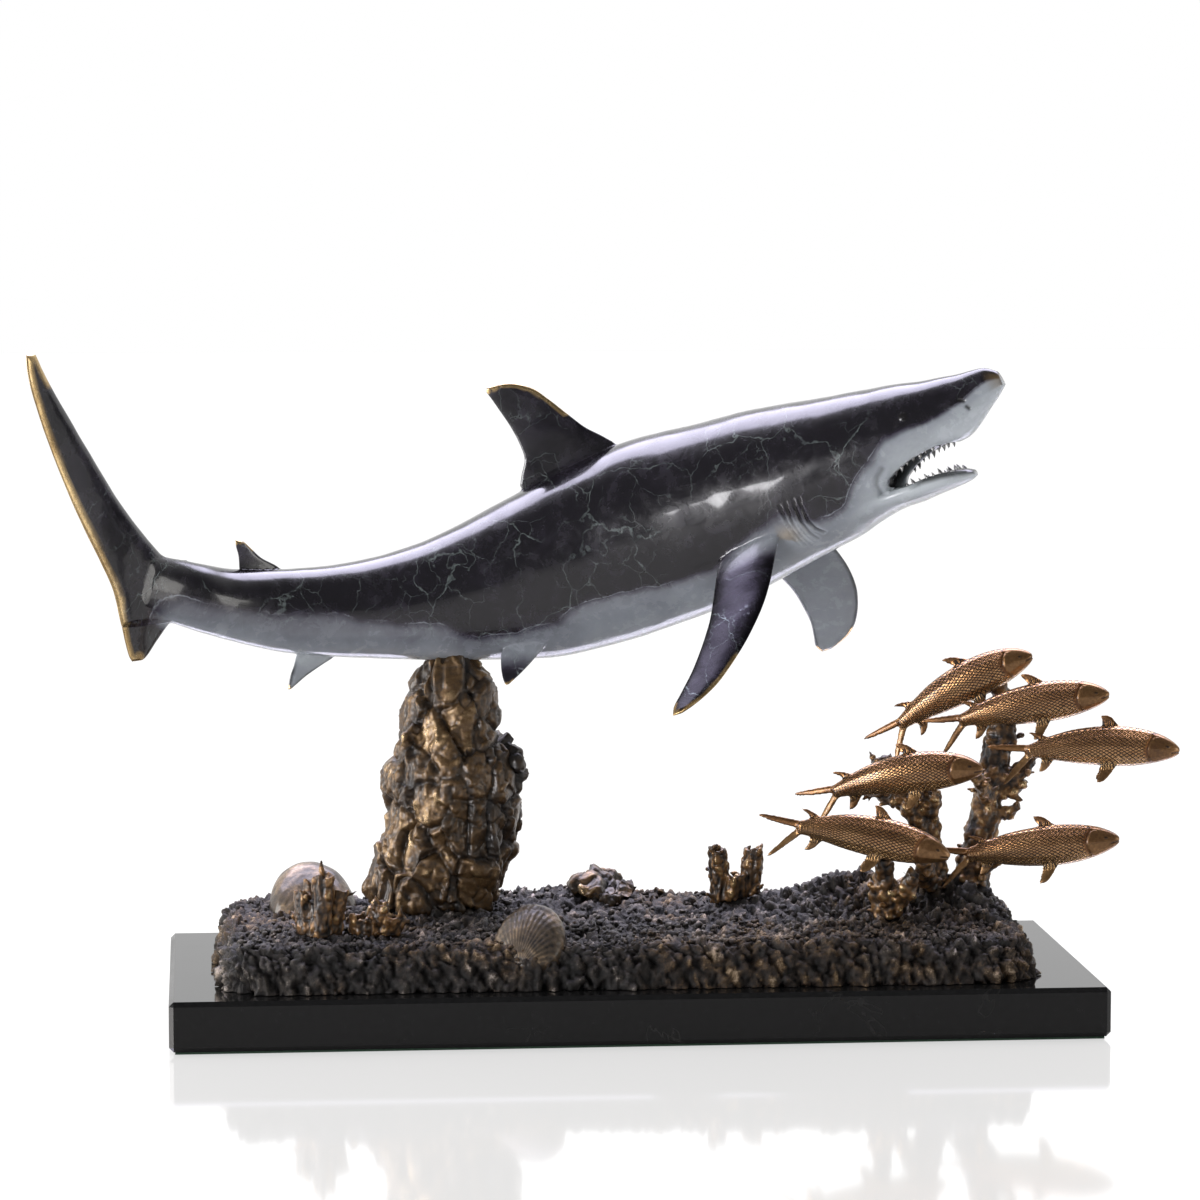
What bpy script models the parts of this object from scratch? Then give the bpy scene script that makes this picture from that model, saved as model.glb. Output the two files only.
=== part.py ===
"""Patinated bronze shark on a rock column, with six small fish over coral, on a marble plinth.

X runs along the plinth towards the shark's snout, Y runs away from the viewer, Z is up.
The origin is the centre of the felt under the plinth. Every length is in metres.
"""

import math

import bmesh
import bpy
from mathutils import Matrix, Vector, noise

MM = 0.001

# Clearance between pieces that touch or are brazed to each other
CLEARANCE = 0.0003

# Felt and plinth
FELT_THICKNESS = 0.001
FELT_MARGIN = 0.003
PLINTH_LENGTH = 0.470
PLINTH_DEPTH = 0.204
PLINTH_THICKNESS = 0.025
PLINTH_CHAMFER = 0.0023

# Fixings that hold the bed down from below
BOLT_SPACING = 0.240
BOLT_DIAMETER = 0.006
BOLT_ENGAGEMENT = 0.010
BOLT_HEAD_ACROSS = 0.010
BOLT_HEAD_HEIGHT = 0.004
WASHER_DIAMETER = 0.018
WASHER_THICKNESS = 0.0016
COUNTERBORE_DIAMETER = 0.022
COUNTERBORE_DEPTH = 0.010
BOLT_HOLE_PLAY = 0.0005

# Bed
BED_LENGTH = 0.414
BED_DEPTH = 0.176
BED_SHIFT = -0.003
BED_HEIGHT = 0.0215
BED_CORNER = 0.030
BANK_WIDTH = 0.011
BANK_FOOT = 0.004
BED_ROUGHNESS = 0.0016
BED_STEP_X = 0.008625
BED_STEP_Y = 0.007330
REEF_INSET = 0.204
LEFT_INSET = 0.210

# Rock column that carries the shark
PILLAR_X = -0.089
PILLAR_Y = 0.028
PILLAR_WIDTH = 0.070
PILLAR_DEPTH = 0.058
PILLAR_ROUGHNESS = 0.0030
PILLAR_ROOT = 0.004

# Shark
SHARK_HEIGHT = 0.2140
SHARK_LENGTH = 0.497
SHARK_DEPTH = 0.098
SHARK_WIDTH = 0.072
SHARK_SEAT = 0.366
JAW_LENGTH = 0.070
JAW_DROP = 0.0292
JAW_THICKNESS = 0.0115
JAW_WIDTH = 0.038
TOOTH_LENGTH = 0.0042
TOOTH_WIDTH = 0.0026
DORSAL_HEIGHT = 0.098
DORSAL_CHORD = 0.058
TAIL_REACH = 0.118
TAIL_LOWER_REACH = 0.037
TAIL_CHORD = 0.046
PECTORAL_REACH = 0.101
PECTORAL_CHORD = 0.031
PELVIC_REACH = 0.021
PELVIC_CHORD = 0.026
SECOND_DORSAL_HEIGHT = 0.033
SECOND_DORSAL_CHORD = 0.023
ANAL_REACH = 0.040
ANAL_CHORD = 0.024
FIN_THICKNESS = 0.0060
FIN_THINNING = 0.78
SMALL_FIN_THICKNESS = 0.0045
PELVIC_BOW = 0.003
TEETH_BELOW = 6
TEETH_ABOVE = 7

# Small fish
FISH_LENGTH = 0.079
FISH_DEPTH = 0.0195
FISH_WIDTH = 0.0125
FISH_FIN_THICKNESS = 0.0016
FISH_FIN_STEP = 0.07
FISH_FIN_OFFSET = 0.00004
FISH_TAIL_THICKNESS = 0.0023
FISH_TAIL_STEP = 0.12
FISH_TAIL_CURL = 0.0022
FISH_TAIL_SPREAD = 0.0100
FISH_TAIL_REACH = 0.0185

# Coral, sponges and shells
CORAL_THICKNESS = 0.0125
SPONGE_HEIGHT = 0.030
SPONGE_TUBE = 0.0115
SPONGE_ROOT = 0.008
SPONGE_NOTCH = 0.004
SHELL_WIDTH = 0.037
SHELL_RISE = 0.0135
REAR_SHELL_WIDTH = 0.046
REAR_SHELL_RISE = 0.022
REAR_ROCK_WIDTH = 0.040
REAR_ROCK_RISE = 0.016
SHELL_ROOT = 0.006

# Levels that follow from the sizes above
PLINTH_BOTTOM = FELT_THICKNESS + CLEARANCE
PLINTH_TOP = PLINTH_BOTTOM + PLINTH_THICKNESS
BED_BOTTOM = PLINTH_TOP + CLEARANCE
BED_TOP = BED_BOTTOM + BED_HEIGHT
# Shifts that keep the reef at the bed's right end and the rest at its left end
REEF_X = BED_SHIFT + BED_LENGTH / 2 - REEF_INSET
LEFT_X = BED_SHIFT - BED_LENGTH / 2 + LEFT_INSET


def clear_scene():
    """Remove whatever objects the scene holds."""
    for item in list(bpy.data.objects):
        bpy.data.objects.remove(item, do_unlink=True)


def material(name, colour, roughness, metallic):
    """A plain Principled finish."""
    finish = bpy.data.materials.new(name)
    finish.use_nodes = True
    shader = finish.node_tree.nodes["Principled BSDF"]
    shader.inputs["Base Color"].default_value = (*colour, 1.0)
    shader.inputs["Roughness"].default_value = roughness
    shader.inputs["Metallic"].default_value = metallic
    return finish


def finish_object(name, bm, finish=None, smooth_angle=None):
    """Close a bmesh into a named object with outward faces and its own material."""
    bmesh.ops.recalc_face_normals(bm, faces=bm.faces)
    mesh = bpy.data.meshes.new(name)
    bm.to_mesh(mesh)
    bm.free()
    if smooth_angle is not None:
        mesh.shade_smooth()
        mesh.set_sharp_from_angle(angle=math.radians(smooth_angle))
    item = bpy.data.objects.new(name, mesh)
    bpy.context.collection.objects.link(item)
    if finish is not None:
        item.data.materials.append(finish)
    return item


def combine(target, tools, operation):
    """Union or cut a solid with each tool in turn, and remove the tools."""
    for tool in tools:
        step = target.modifiers.new("combine", "BOOLEAN")
        step.operation = operation
        step.solver = "EXACT"
        step.object = tool
        bpy.context.view_layer.update()
        shape = target.evaluated_get(bpy.context.evaluated_depsgraph_get())
        result = bpy.data.meshes.new_from_object(shape)
        target.modifiers.clear()
        target.data = result
        bpy.data.objects.remove(tool, do_unlink=True)
    return target


def grow(bm, amount):
    """Push every face of a convex-sided solid outwards by an amount."""
    if amount:
        bm.normal_update()
        offsets = [(vert, vert.normal * amount * vert.calc_shell_factor()) for vert in bm.verts]
        for vert, offset in offsets:
            vert.co += offset


def loft(bm, rings):
    """Skin a closed body through rings that hold the same number of points."""
    rows = [[bm.verts.new(point) for point in ring] for ring in rings]
    count = len(rows[0])
    for lower, upper in zip(rows, rows[1:]):
        for i in range(count):
            j = (i + 1) % count
            bm.faces.new((lower[i], lower[j], upper[j], upper[i]))
    bm.faces.new(list(reversed(rows[0])))
    bm.faces.new(rows[-1])


def loft_object(name, rings, spare=0.0):
    """A lofted solid, grown by a spare amount when it serves as a cutter."""
    bm = bmesh.new()
    loft(bm, rings)
    bmesh.ops.recalc_face_normals(bm, faces=bm.faces)
    grow(bm, spare)
    bmesh.ops.triangulate(bm, faces=bm.faces)
    return finish_object(name, bm)


def smooth_value(table, column, t):
    """Read a column of a station table at t with a Catmull-Rom curve."""
    keys = [row[0] for row in table]
    i = max(k for k in range(len(keys) - 1) if t >= keys[k] or k == 0)
    left = max(i - 1, 0)
    right = min(i + 2, len(table) - 1)
    span = keys[i + 1] - keys[i]
    u = min(max((t - keys[i]) / span, 0.0), 1.0)
    a, b = table[i][column], table[i + 1][column]
    slope_a = (b - table[left][column]) / (keys[i + 1] - keys[left]) * span
    slope_b = (table[right][column] - a) / (keys[right] - keys[i]) * span
    return (
        (2 * u**3 - 3 * u**2 + 1) * a
        + (u**3 - 2 * u**2 + u) * slope_a
        + (3 * u**2 - 2 * u**3) * b
        + (u**3 - u**2) * slope_b
    )


def lump(point, size, seed):
    """Smooth noise between -1 and 1 with features of about the given size."""
    return noise.noise(Vector(point) / size + Vector((seed, 2.3 * seed, -seed)))


# Foil section: share of chord from the leading edge, and share of half thickness
FOIL_SECTION = (
    (0.0, 0.0),
    (0.06, 0.55),
    (0.30, 1.0),
    (0.68, 0.70),
    (1.0, 0.22),
    (1.0, -0.22),
    (0.68, -0.70),
    (0.30, -1.0),
    (0.06, -0.55),
)


def fin_rings(root, span, chord, outline, thickness, bow=0.0):
    """Rings of a fin: outline rows give span share, lead and trail as shares of the chord."""
    side = span.cross(chord).normalized()
    rings = []
    for reach, lead, trail in outline:
        thin = thickness * (1 - FIN_THINNING * max(reach, 0.0)) / 2
        bend = side * (bow * max(reach, 0.0) ** 2)
        centre = root + span * reach + bend
        rings.append(
            [
                centre + chord * (lead + (trail - lead) * along) + side * (thin * across)
                for along, across in FOIL_SECTION
            ]
        )
    return rings


# Felt, plinth and fixings


def box(bm, size, centre):
    """A box given by its size and centre."""
    made = bmesh.ops.create_cube(bm, size=1.0)["verts"]
    bmesh.ops.scale(bm, vec=size, verts=made)
    bmesh.ops.translate(bm, vec=centre, verts=made)
    return made


def drum(bm, diameter, bottom, top, place, sides=24):
    """An upright cylinder between two levels."""
    shift = Matrix.Translation((place[0], place[1], (bottom + top) / 2))
    bmesh.ops.create_cone(
        bm,
        cap_ends=True,
        segments=sides,
        radius1=diameter / 2,
        radius2=diameter / 2,
        depth=top - bottom,
        matrix=shift,
    )


def bolt_places():
    """Axes of the two fixings."""
    return [(side * BOLT_SPACING / 2 + BED_SHIFT, 0.0) for side in (-1, 1)]


def make_felt(finish):
    """Thin felt sheet that the plinth stands on."""
    bm = bmesh.new()
    size = (PLINTH_LENGTH - 2 * FELT_MARGIN, PLINTH_DEPTH - 2 * FELT_MARGIN, FELT_THICKNESS)
    box(bm, size, (0, 0, FELT_THICKNESS / 2))
    return finish_object("felt_base", bm, finish)


def make_plinth(finish):
    """Chamfered marble slab, counterbored from below for the fixings."""
    bm = bmesh.new()
    size = (PLINTH_LENGTH, PLINTH_DEPTH, PLINTH_THICKNESS)
    box(bm, size, (0, 0, PLINTH_BOTTOM + PLINTH_THICKNESS / 2))
    bmesh.ops.bevel(
        bm,
        geom=list(bm.edges),
        offset=PLINTH_CHAMFER,
        segments=1,
        profile=0.5,
        affect="EDGES",
        material=-1,
    )
    plinth = finish_object("plinth", bm, finish)
    tools = []
    for place in bolt_places():
        bore = bmesh.new()
        drum(bore, BOLT_DIAMETER + 2 * BOLT_HOLE_PLAY, 0.0, PLINTH_TOP + MM, place)
        tools.append(finish_object("bore", bore))
        recess = bmesh.new()
        drum(recess, COUNTERBORE_DIAMETER, 0.0, PLINTH_BOTTOM + COUNTERBORE_DEPTH, place)
        tools.append(finish_object("recess", recess))
    return combine(plinth, tools, "DIFFERENCE")


def make_fixings(finish):
    """Hexagon-headed bolts with washers, one pair in each counterbore."""
    washer_top = PLINTH_BOTTOM + COUNTERBORE_DEPTH - CLEARANCE
    washer_bottom = washer_top - WASHER_THICKNESS
    head_top = washer_bottom - CLEARANCE
    for label, place in zip(("left", "right"), bolt_places()):
        ring = bmesh.new()
        drum(ring, WASHER_DIAMETER, washer_bottom, washer_top, place)
        washer = finish_object("washer_" + label, ring, finish, 40)
        bore = bmesh.new()
        drum(bore, BOLT_DIAMETER + 2 * CLEARANCE, washer_bottom - MM, washer_top + MM, place)
        combine(washer, [finish_object("bore", bore)], "DIFFERENCE")
        head = bmesh.new()
        across_corners = BOLT_HEAD_ACROSS / math.cos(math.radians(30))
        drum(head, across_corners, head_top - BOLT_HEAD_HEIGHT, head_top, place, 6)
        bolt = finish_object("fixing_bolt_" + label, head, finish, 40)
        shank = bmesh.new()
        drum(shank, BOLT_DIAMETER, head_top - MM, BED_BOTTOM + BOLT_ENGAGEMENT, place)
        combine(bolt, [finish_object("shank", shank)], "UNION")


# Bed of sand and stones

# Mounds on the bed: X, Y, height above the flat and radius, all in millimetres
MOUNDS = (
    (-92, 24, 6, 46),
    (-165, -40, 3, 30),
    (122, 22, 20, 36),
    (-36, 66, 3, 40),
    (172, -4, 18, 30),
    (70, 28, 5, 26),
    (-6, 62, 5, 24),
    (112, -52, 4, 30),
    (-40, -58, -4, 26),
    (40, -50, -2, 34),
)
BANK_SHARES = (0.0, 0.20, 0.52, 1.0)
BANK_RISES = (0.0, 0.62, 0.88, 1.0)


def bed_lines(half, cells):
    """Grid lines from -half to half, close together over the bank at both ends."""
    steps = len(BANK_SHARES) - 1
    rim = [share * BANK_WIDTH for share in BANK_SHARES]
    inner = half - BANK_WIDTH
    middle = cells - 2 * steps
    lines = [-half + r for r in rim[:-1]]
    lines += [-inner + 2 * inner * k / middle for k in range(middle + 1)]
    lines += [half - r for r in reversed(rim[:-1])]
    return lines


def round_corner(x, y):
    """Map a point of the rectangle into the same rectangle with round corners."""
    flat_x = BED_LENGTH / 2 - BED_CORNER
    flat_y = BED_DEPTH / 2 - BED_CORNER
    px = abs(x) - flat_x
    py = abs(y) - flat_y
    if px <= 0 or py <= 0:
        return x, y
    u, v = px / BED_CORNER, py / BED_CORNER
    px = BED_CORNER * u * math.sqrt(1 - v * v / 2)
    py = BED_CORNER * v * math.sqrt(1 - u * u / 2)
    return math.copysign(flat_x + px, x), math.copysign(flat_y + py, y)


def along_bed(place):
    """X of a place given in millimetres, which follows the bed's nearer end."""
    return place * MM + (REEF_X if place > 0 else LEFT_X)


def bed_surface(x, y):
    """Height of the bed's top above the plinth at a place, without its bank."""
    height = BED_HEIGHT
    for mound_x, mound_y, rise, radius in MOUNDS:
        away = math.hypot(x - along_bed(mound_x), y - mound_y * MM) / (radius * MM)
        height += rise * MM * math.exp(-away * away * 1.4)
    ripple = lump((x, y, 0), 0.022, 3.0) + 0.6 * lump((x, y, 0), 0.009, 7.0)
    return height + BED_ROUGHNESS * ripple


def bed_mesh(spare=0.0):
    """Closed bed: a bumpy top that drops over a steep bank to a flat underside."""
    cells_x = 2 * round(BED_LENGTH / BED_STEP_X / 2)
    cells_y = 2 * round(BED_DEPTH / BED_STEP_Y / 2)
    lines_x = bed_lines(BED_LENGTH / 2, cells_x)
    lines_y = bed_lines(BED_DEPTH / 2, cells_y)
    bm = bmesh.new()
    bmesh.ops.create_grid(bm, x_segments=cells_x, y_segments=cells_y, size=1.0)
    steps = len(BANK_SHARES) - 1
    for vert in bm.verts:
        i = round((vert.co.x + 1) / 2 * cells_x)
        j = round((vert.co.y + 1) / 2 * cells_y)
        ring = min(i, cells_x - i, j, cells_y - j, steps)
        x, y = round_corner(lines_x[i], lines_y[j])
        top = bed_surface(x + BED_SHIFT, y)
        wave = lump((x, y, 0), 0.014, 11.0) * BED_ROUGHNESS
        inward = Vector((-x, -y, 0)).normalized() * (wave + BED_ROUGHNESS) * (ring < steps)
        rise = BANK_FOOT + (top - BANK_FOOT) * BANK_RISES[ring]
        vert.co = (x + BED_SHIFT + inward.x, y + inward.y, BED_BOTTOM + rise)
    rim = [edge for edge in bm.edges if edge.is_boundary]
    skirt = bmesh.ops.extrude_edge_only(bm, edges=rim)["geom"]
    for vert in (item for item in skirt if isinstance(item, bmesh.types.BMVert)):
        vert.co.z = BED_BOTTOM
    lower = [edge for edge in bm.edges if edge.is_boundary]
    bmesh.ops.contextual_create(bm, geom=lower)
    bmesh.ops.recalc_face_normals(bm, faces=bm.faces)
    grow(bm, spare)
    bmesh.ops.triangulate(bm, faces=bm.faces)
    return bm


def bed_cutter():
    """The bed with its clearance, for cutting what stands in it."""
    return finish_object("bed_cutter", bed_mesh(CLEARANCE))


def make_bed(finish):
    """Cast bed, tapped from below for the fixings."""
    bed = finish_object("seabed", bed_mesh(), finish, 30)
    tools = []
    for place in bolt_places():
        hole = bmesh.new()
        top = BED_BOTTOM + BOLT_ENGAGEMENT + MM
        drum(hole, BOLT_DIAMETER + 2 * CLEARANCE, BED_BOTTOM - MM, top, place)
        tools.append(finish_object("hole", hole))
    return combine(bed, tools, "DIFFERENCE")


# Rock column

# Share of the height, half width share, sideways shift in millimetres
PILLAR_LEVELS = (
    (0.00, 0.92, -9),
    (0.10, 1.04, -9),
    (0.20, 1.04, -4),
    (0.27, 1.00, 0),
    (0.36, 1.02, 1),
    (0.44, 1.05, 2),
    (0.49, 1.00, 4),
    (0.535, 0.90, 4),
    (0.575, 0.76, 1),
    (0.63, 0.69, 0),
    (0.76, 0.66, 0),
    (0.84, 0.56, 0),
    (0.91, 0.45, 0),
    (1.00, 0.42, 1),
)


def boulder(point):
    """Radial offset that packs the column's side with rounded stones."""
    near = noise.voronoi(point / 0.021, distance_metric="DISTANCE")[0]
    stone = min((near[1] - near[0]) * 1.6, 1.0)
    return PILLAR_ROUGHNESS * (1.6 * stone - 0.9 + 0.5 * lump(point, 0.012, 5.0))


def make_pillar(finish):
    """Column of heaped stones, seated on the bed and hollowed for the shark's belly."""
    foot = BED_TOP - PILLAR_ROOT
    height = SHARK_HEIGHT - foot
    levels, around = 20, 22
    rings = []
    for k in range(levels):
        t = k / (levels - 1)
        half = smooth_value(PILLAR_LEVELS, 1, t)
        shift = smooth_value(PILLAR_LEVELS, 2, t) * MM
        ring = []
        for i in range(around):
            angle = 2 * math.pi * i / around
            out = Vector((math.cos(angle), math.sin(angle), 0))
            core = Vector((PILLAR_X + shift, PILLAR_Y, foot + height * t))
            wide = Vector((out.x * PILLAR_WIDTH / 2 * half, out.y * PILLAR_DEPTH / 2 * half, 0))
            ring.append(core + wide + out * boulder(core + wide))
        rings.append(ring)
    pillar = loft_object("rock_pillar", rings)
    pillar.data.materials.append(finish)
    tools = [bed_cutter()]
    tools += [loft_object("seat", rings, CLEARANCE) for rings in shark_seat_rings()]
    return combine(pillar, tools, "DIFFERENCE")


# Shark

# Stations from the tail's root to the snout: share of length, height above and depth below
# the spine as shares of half the depth, half width share, and pitch and heading in degrees
SHARK_STATIONS = (
    (0.000, 0.30, 0.26, 0.12, -15.5, 50.0),
    (0.040, 0.33, 0.31, 0.22, -15.5, 44.0),
    (0.076, 0.35, 0.33, 0.34, -15.0, 39.0),
    (0.111, 0.37, 0.35, 0.38, -13.0, 34.0),
    (0.147, 0.41, 0.385, 0.40, -9.5, 29.0),
    (0.192, 0.45, 0.435, 0.46, -3.7, 24.0),
    (0.238, 0.48, 0.485, 0.53, 0.4, 19.0),
    (0.281, 0.525, 0.535, 0.60, 2.8, 15.0),
    (0.324, 0.585, 0.61, 0.68, 7.8, 11.0),
    (0.366, 0.645, 0.715, 0.76, 13.0, 7.7),
    (0.411, 0.73, 0.84, 0.84, 15.4, 4.0),
    (0.455, 0.825, 0.95, 0.91, 16.2, -0.4),
    (0.499, 0.91, 0.99, 0.96, 17.6, -5.0),
    (0.543, 0.97, 1.01, 0.99, 19.0, -10.6),
    (0.589, 1.01, 1.00, 1.00, 18.4, -16.0),
    (0.631, 0.985, 0.975, 0.99, 18.4, -20.5),
    (0.678, 0.945, 0.925, 0.96, 19.6, -24.0),
    (0.725, 0.905, 0.855, 0.91, 20.4, -26.0),
    (0.772, 0.825, 0.785, 0.85, 22.0, -27.0),
    (0.805, 0.75, 0.75, 0.79, 23.8, -27.3),
    (0.842, 0.665, 0.62, 0.72, 25.5, -27.5),
    (0.865, 0.605, 0.47, 0.66, 25.5, -27.6),
    (0.882, 0.56, 0.375, 0.61, 25.4, -27.7),
    (0.901, 0.505, 0.325, 0.54, 25.8, -27.8),
    (0.921, 0.44, 0.30, 0.455, 27.0, -27.8),
    (0.943, 0.38, 0.305, 0.365, 28.2, -27.9),
    (0.960, 0.325, 0.24, 0.295, 29.0, -28.0),
    (0.976, 0.285, 0.155, 0.22, 29.0, -28.0),
    (0.990, 0.235, 0.085, 0.16, 28.5, -28.0),
    (1.000, 0.140, 0.02, 0.08, 28.0, -28.0),
)
SPINE_STEPS = 400
HEAD_SHARE = 0.865


def shark_heading(t):
    """Forward, right-hand and upward directions of the spine at a share of its length."""
    pitch = math.radians(smooth_value(SHARK_STATIONS, 4, t))
    yaw = math.radians(smooth_value(SHARK_STATIONS, 5, t))
    flat = math.cos(pitch)
    forward = Vector((math.cos(yaw) * flat, math.sin(yaw) * flat, math.sin(pitch)))
    right = Vector((math.sin(yaw), -math.cos(yaw), 0.0))
    return forward, right, right.cross(forward)


def make_spine():
    """Points along the spine, walked both ways from the seat on the column."""
    step = SHARK_LENGTH / SPINE_STEPS
    seat = round(SHARK_SEAT * SPINE_STEPS)
    points = [Vector((PILLAR_X, PILLAR_Y, SHARK_HEIGHT))] * (SPINE_STEPS + 1)
    for i in range(seat, SPINE_STEPS):
        points[i + 1] = points[i] + shark_heading((i + 0.5) / SPINE_STEPS)[0] * step
    for i in range(seat, 0, -1):
        points[i - 1] = points[i] - shark_heading((i - 0.5) / SPINE_STEPS)[0] * step
    return points


SPINE = make_spine()


def spine_point(t):
    """Point of the spine at a share of its length."""
    place = min(max(t, 0.0), 1.0) * SPINE_STEPS
    i = min(int(place), SPINE_STEPS - 1)
    return SPINE[i].lerp(SPINE[i + 1], place - i)


def body_point(t, right=0.0, up=0.0, forward=0.0):
    """Point given in the shark's own directions from its spine."""
    ahead, side, above = shark_heading(t)
    return spine_point(t) + ahead * forward + side * right + above * up


def body_size(t):
    """Height above the spine, depth below it and half width at a share of the length."""
    half = SHARK_DEPTH / 2
    return (
        smooth_value(SHARK_STATIONS, 1, t) * half,
        smooth_value(SHARK_STATIONS, 2, t) * half,
        smooth_value(SHARK_STATIONS, 3, t) * SHARK_WIDTH / 2,
    )


def body_rings(first=0.0, last=1.0, count=40, around=24):
    """Rings of the trunk and head."""
    rings = []
    for k in range(count):
        t = first + (last - first) * k / (count - 1)
        above, below, half = body_size(t)
        ring = []
        for i in range(around):
            angle = 2 * math.pi * i / around
            height = above if math.sin(angle) > 0 else below
            ring.append(body_point(t, half * math.cos(angle), height * math.sin(angle)))
        rings.append(ring)
    return rings


# Lower jaw: share of its length, top and underside from the jaw line, half width, all shares
JAW_STATIONS = (
    (0.00, 0.50, -0.10, 0.70),
    (0.14, 0.62, -0.40, 1.02),
    (0.30, 0.66, -0.55, 1.08),
    (0.42, 0.66, -0.52, 1.04),
    (0.56, 0.66, -0.47, 0.94),
    (0.68, 0.60, -0.47, 0.82),
    (0.80, 0.42, -0.50, 0.68),
    (0.90, 0.20, -0.52, 0.50),
    (0.96, 0.04, -0.50, 0.34),
    (1.00, -0.12, -0.42, 0.18),
)
JAW_START = -0.0355


def jaw_point(share, across, lift):
    """Point on the jaw: share of its length, right-hand offset and height above its line."""
    forward = JAW_START + JAW_LENGTH * share
    return body_point(HEAD_SHARE, across, lift - JAW_DROP, forward)


def jaw_rings():
    """Rings of the lower jaw from inside the throat to its rounded tip."""
    rings = []
    around = 16
    for share, top, bottom, wide in JAW_STATIONS:
        high = top * JAW_THICKNESS
        low = bottom * JAW_THICKNESS
        middle = (high + low) / 2
        ring = []
        for i in range(around):
            angle = 2 * math.pi * i / around
            across = wide * JAW_WIDTH / 2 * math.cos(angle)
            ring.append(jaw_point(share, across, middle + (high - low) / 2 * math.sin(angle)))
        rings.append(ring)
    return rings


def gap_rings(stations):
    """Rings of a gap between the jaws: share of the jaw, floor, roof and half width."""
    rings = []
    for share, floor, roof, wide in stations:
        low = floor * JAW_THICKNESS
        high = roof * JAW_THICKNESS
        ring = []
        for i in range(12):
            angle = 2 * math.pi * i / 12
            across = wide * JAW_WIDTH / 2 * math.cos(angle)
            lift = (low + high) / 2 + (high - low) / 2 * math.sin(angle)
            ring.append(jaw_point(share, across, lift))
        rings.append(ring)
    return rings


# The slit that opens the corners of the mouth, and the hollow inside it
MOUTH_SLIT = (
    (0.40, 0.42, 0.50, 1.9),
    (0.46, 0.42, 0.72, 1.9),
    (0.54, 0.55, 0.98, 1.9),
    (0.62, 0.60, 1.18, 1.9),
    (0.72, 0.52, 1.30, 1.9),
    (0.84, 0.40, 1.34, 1.9),
    (1.10, 0.20, 1.34, 1.9),
)
MOUTH_HOLLOW = (
    (0.28, 0.30, 0.80, 0.40),
    (0.38, 0.08, 1.25, 0.62),
    (0.52, 0.00, 1.75, 0.72),
    (0.66, 0.00, 2.00, 0.60),
    (0.78, 0.00, 1.90, 0.44),
    (0.88, -0.05, 1.60, 0.26),
    (0.93, -0.02, 1.30, 0.14),
)


# Where the rows of teeth start and end, and where the gums lie in the section
LOWER_TEETH = (0.56, 0.94)
UPPER_TEETH = (0.886, 0.944)
GUM_INSET = 0.80
GUM_LEVEL = 0.62
LIP_INSET = 0.72
LIP_LEVEL = 0.66


def tooth(foot, tip_way, along):
    """A slim four-sided tooth standing on the gum."""
    side = tip_way.cross(along).normalized()
    base = foot - tip_way * (TOOTH_LENGTH * 0.5)
    tip = foot + tip_way * TOOTH_LENGTH
    half = TOOTH_WIDTH / 2
    bm = bmesh.new()
    corners = [base + along * half, base + side * half, base - along * half, base - side * half]
    foot_ring = [bm.verts.new(corner) for corner in corners]
    point = bm.verts.new(tip)
    bm.faces.new(foot_ring)
    for i in range(4):
        bm.faces.new((foot_ring[i], foot_ring[(i + 1) % 4], point))
    return finish_object("tooth", bm)


def teeth():
    """Both rows of teeth along the gums."""
    ahead, side, above = shark_heading(HEAD_SHARE)
    row = []
    first, last = LOWER_TEETH
    front, back = UPPER_TEETH
    for hand in (-1, 1):
        for k in range(TEETH_BELOW):
            share = first + (last - first) * k / (TEETH_BELOW - 1)
            wide = smooth_value(JAW_STATIONS, 3, share) * JAW_WIDTH / 2 * GUM_INSET
            lift = smooth_value(JAW_STATIONS, 1, share) * JAW_THICKNESS * GUM_LEVEL
            row.append(tooth(jaw_point(share, hand * wide, lift), above, ahead))
        for k in range(TEETH_ABOVE):
            t = front + (back - front) * k / (TEETH_ABOVE - 1)
            _, below, half = body_size(t)
            foot = body_point(t, hand * half * LIP_INSET, -below * LIP_LEVEL)
            row.append(tooth(foot, -above, ahead))
    return row


# Fin outlines: share of the reach, then leading and trailing edge as shares of the chord
DORSAL_OUTLINE = (
    (0.30, 1.12, 0.05),
    (0.42, 1.05, -0.02),
    (0.50, 0.95, 0.02),
    (0.58, 0.82, 0.09),
    (0.66, 0.68, 0.09),
    (0.76, 0.56, 0.06),
    (0.86, 0.44, 0.01),
    (0.93, 0.34, -0.03),
    (0.98, 0.20, -0.06),
    (1.00, 0.08, -0.05),
)
PECTORAL_OUTLINE = (
    (-0.10, 0.62, -0.42),
    (0.12, 0.75, -0.32),
    (0.30, 0.86, -0.18),
    (0.45, 0.90, -0.08),
    (0.60, 0.87, -0.04),
    (0.74, 0.77, -0.04),
    (0.86, 0.62, -0.09),
    (0.94, 0.42, -0.13),
    (1.00, 0.10, -0.08),
)
TAIL_UPPER_OUTLINE = (
    (-0.16, 0.60, -0.50),
    (0.00, 0.56, -0.64),
    (0.13, 0.14, -0.85),
    (0.25, -0.22, -1.06),
    (0.37, -0.53, -1.26),
    (0.49, -0.80, -1.44),
    (0.61, -1.06, -1.61),
    (0.73, -1.31, -1.76),
    (0.84, -1.54, -1.88),
    (0.93, -1.71, -1.95),
    (1.00, -1.82, -1.97),
)
TAIL_LOWER_OUTLINE = (
    (-0.30, 0.60, -0.46),
    (0.10, 0.58, -0.48),
    (0.36, 0.52, -0.40),
    (0.55, 0.28, -0.36),
    (0.76, 0.08, -0.34),
    (0.92, -0.06, -0.31),
    (1.00, -0.16, -0.26),
)
SECOND_DORSAL_OUTLINE = (
    (0.45, 1.25, 0.00),
    (0.68, 1.05, -0.08),
    (0.80, 0.48, -0.14),
    (0.90, 0.20, -0.22),
    (1.00, -0.05, -0.27),
)
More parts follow.
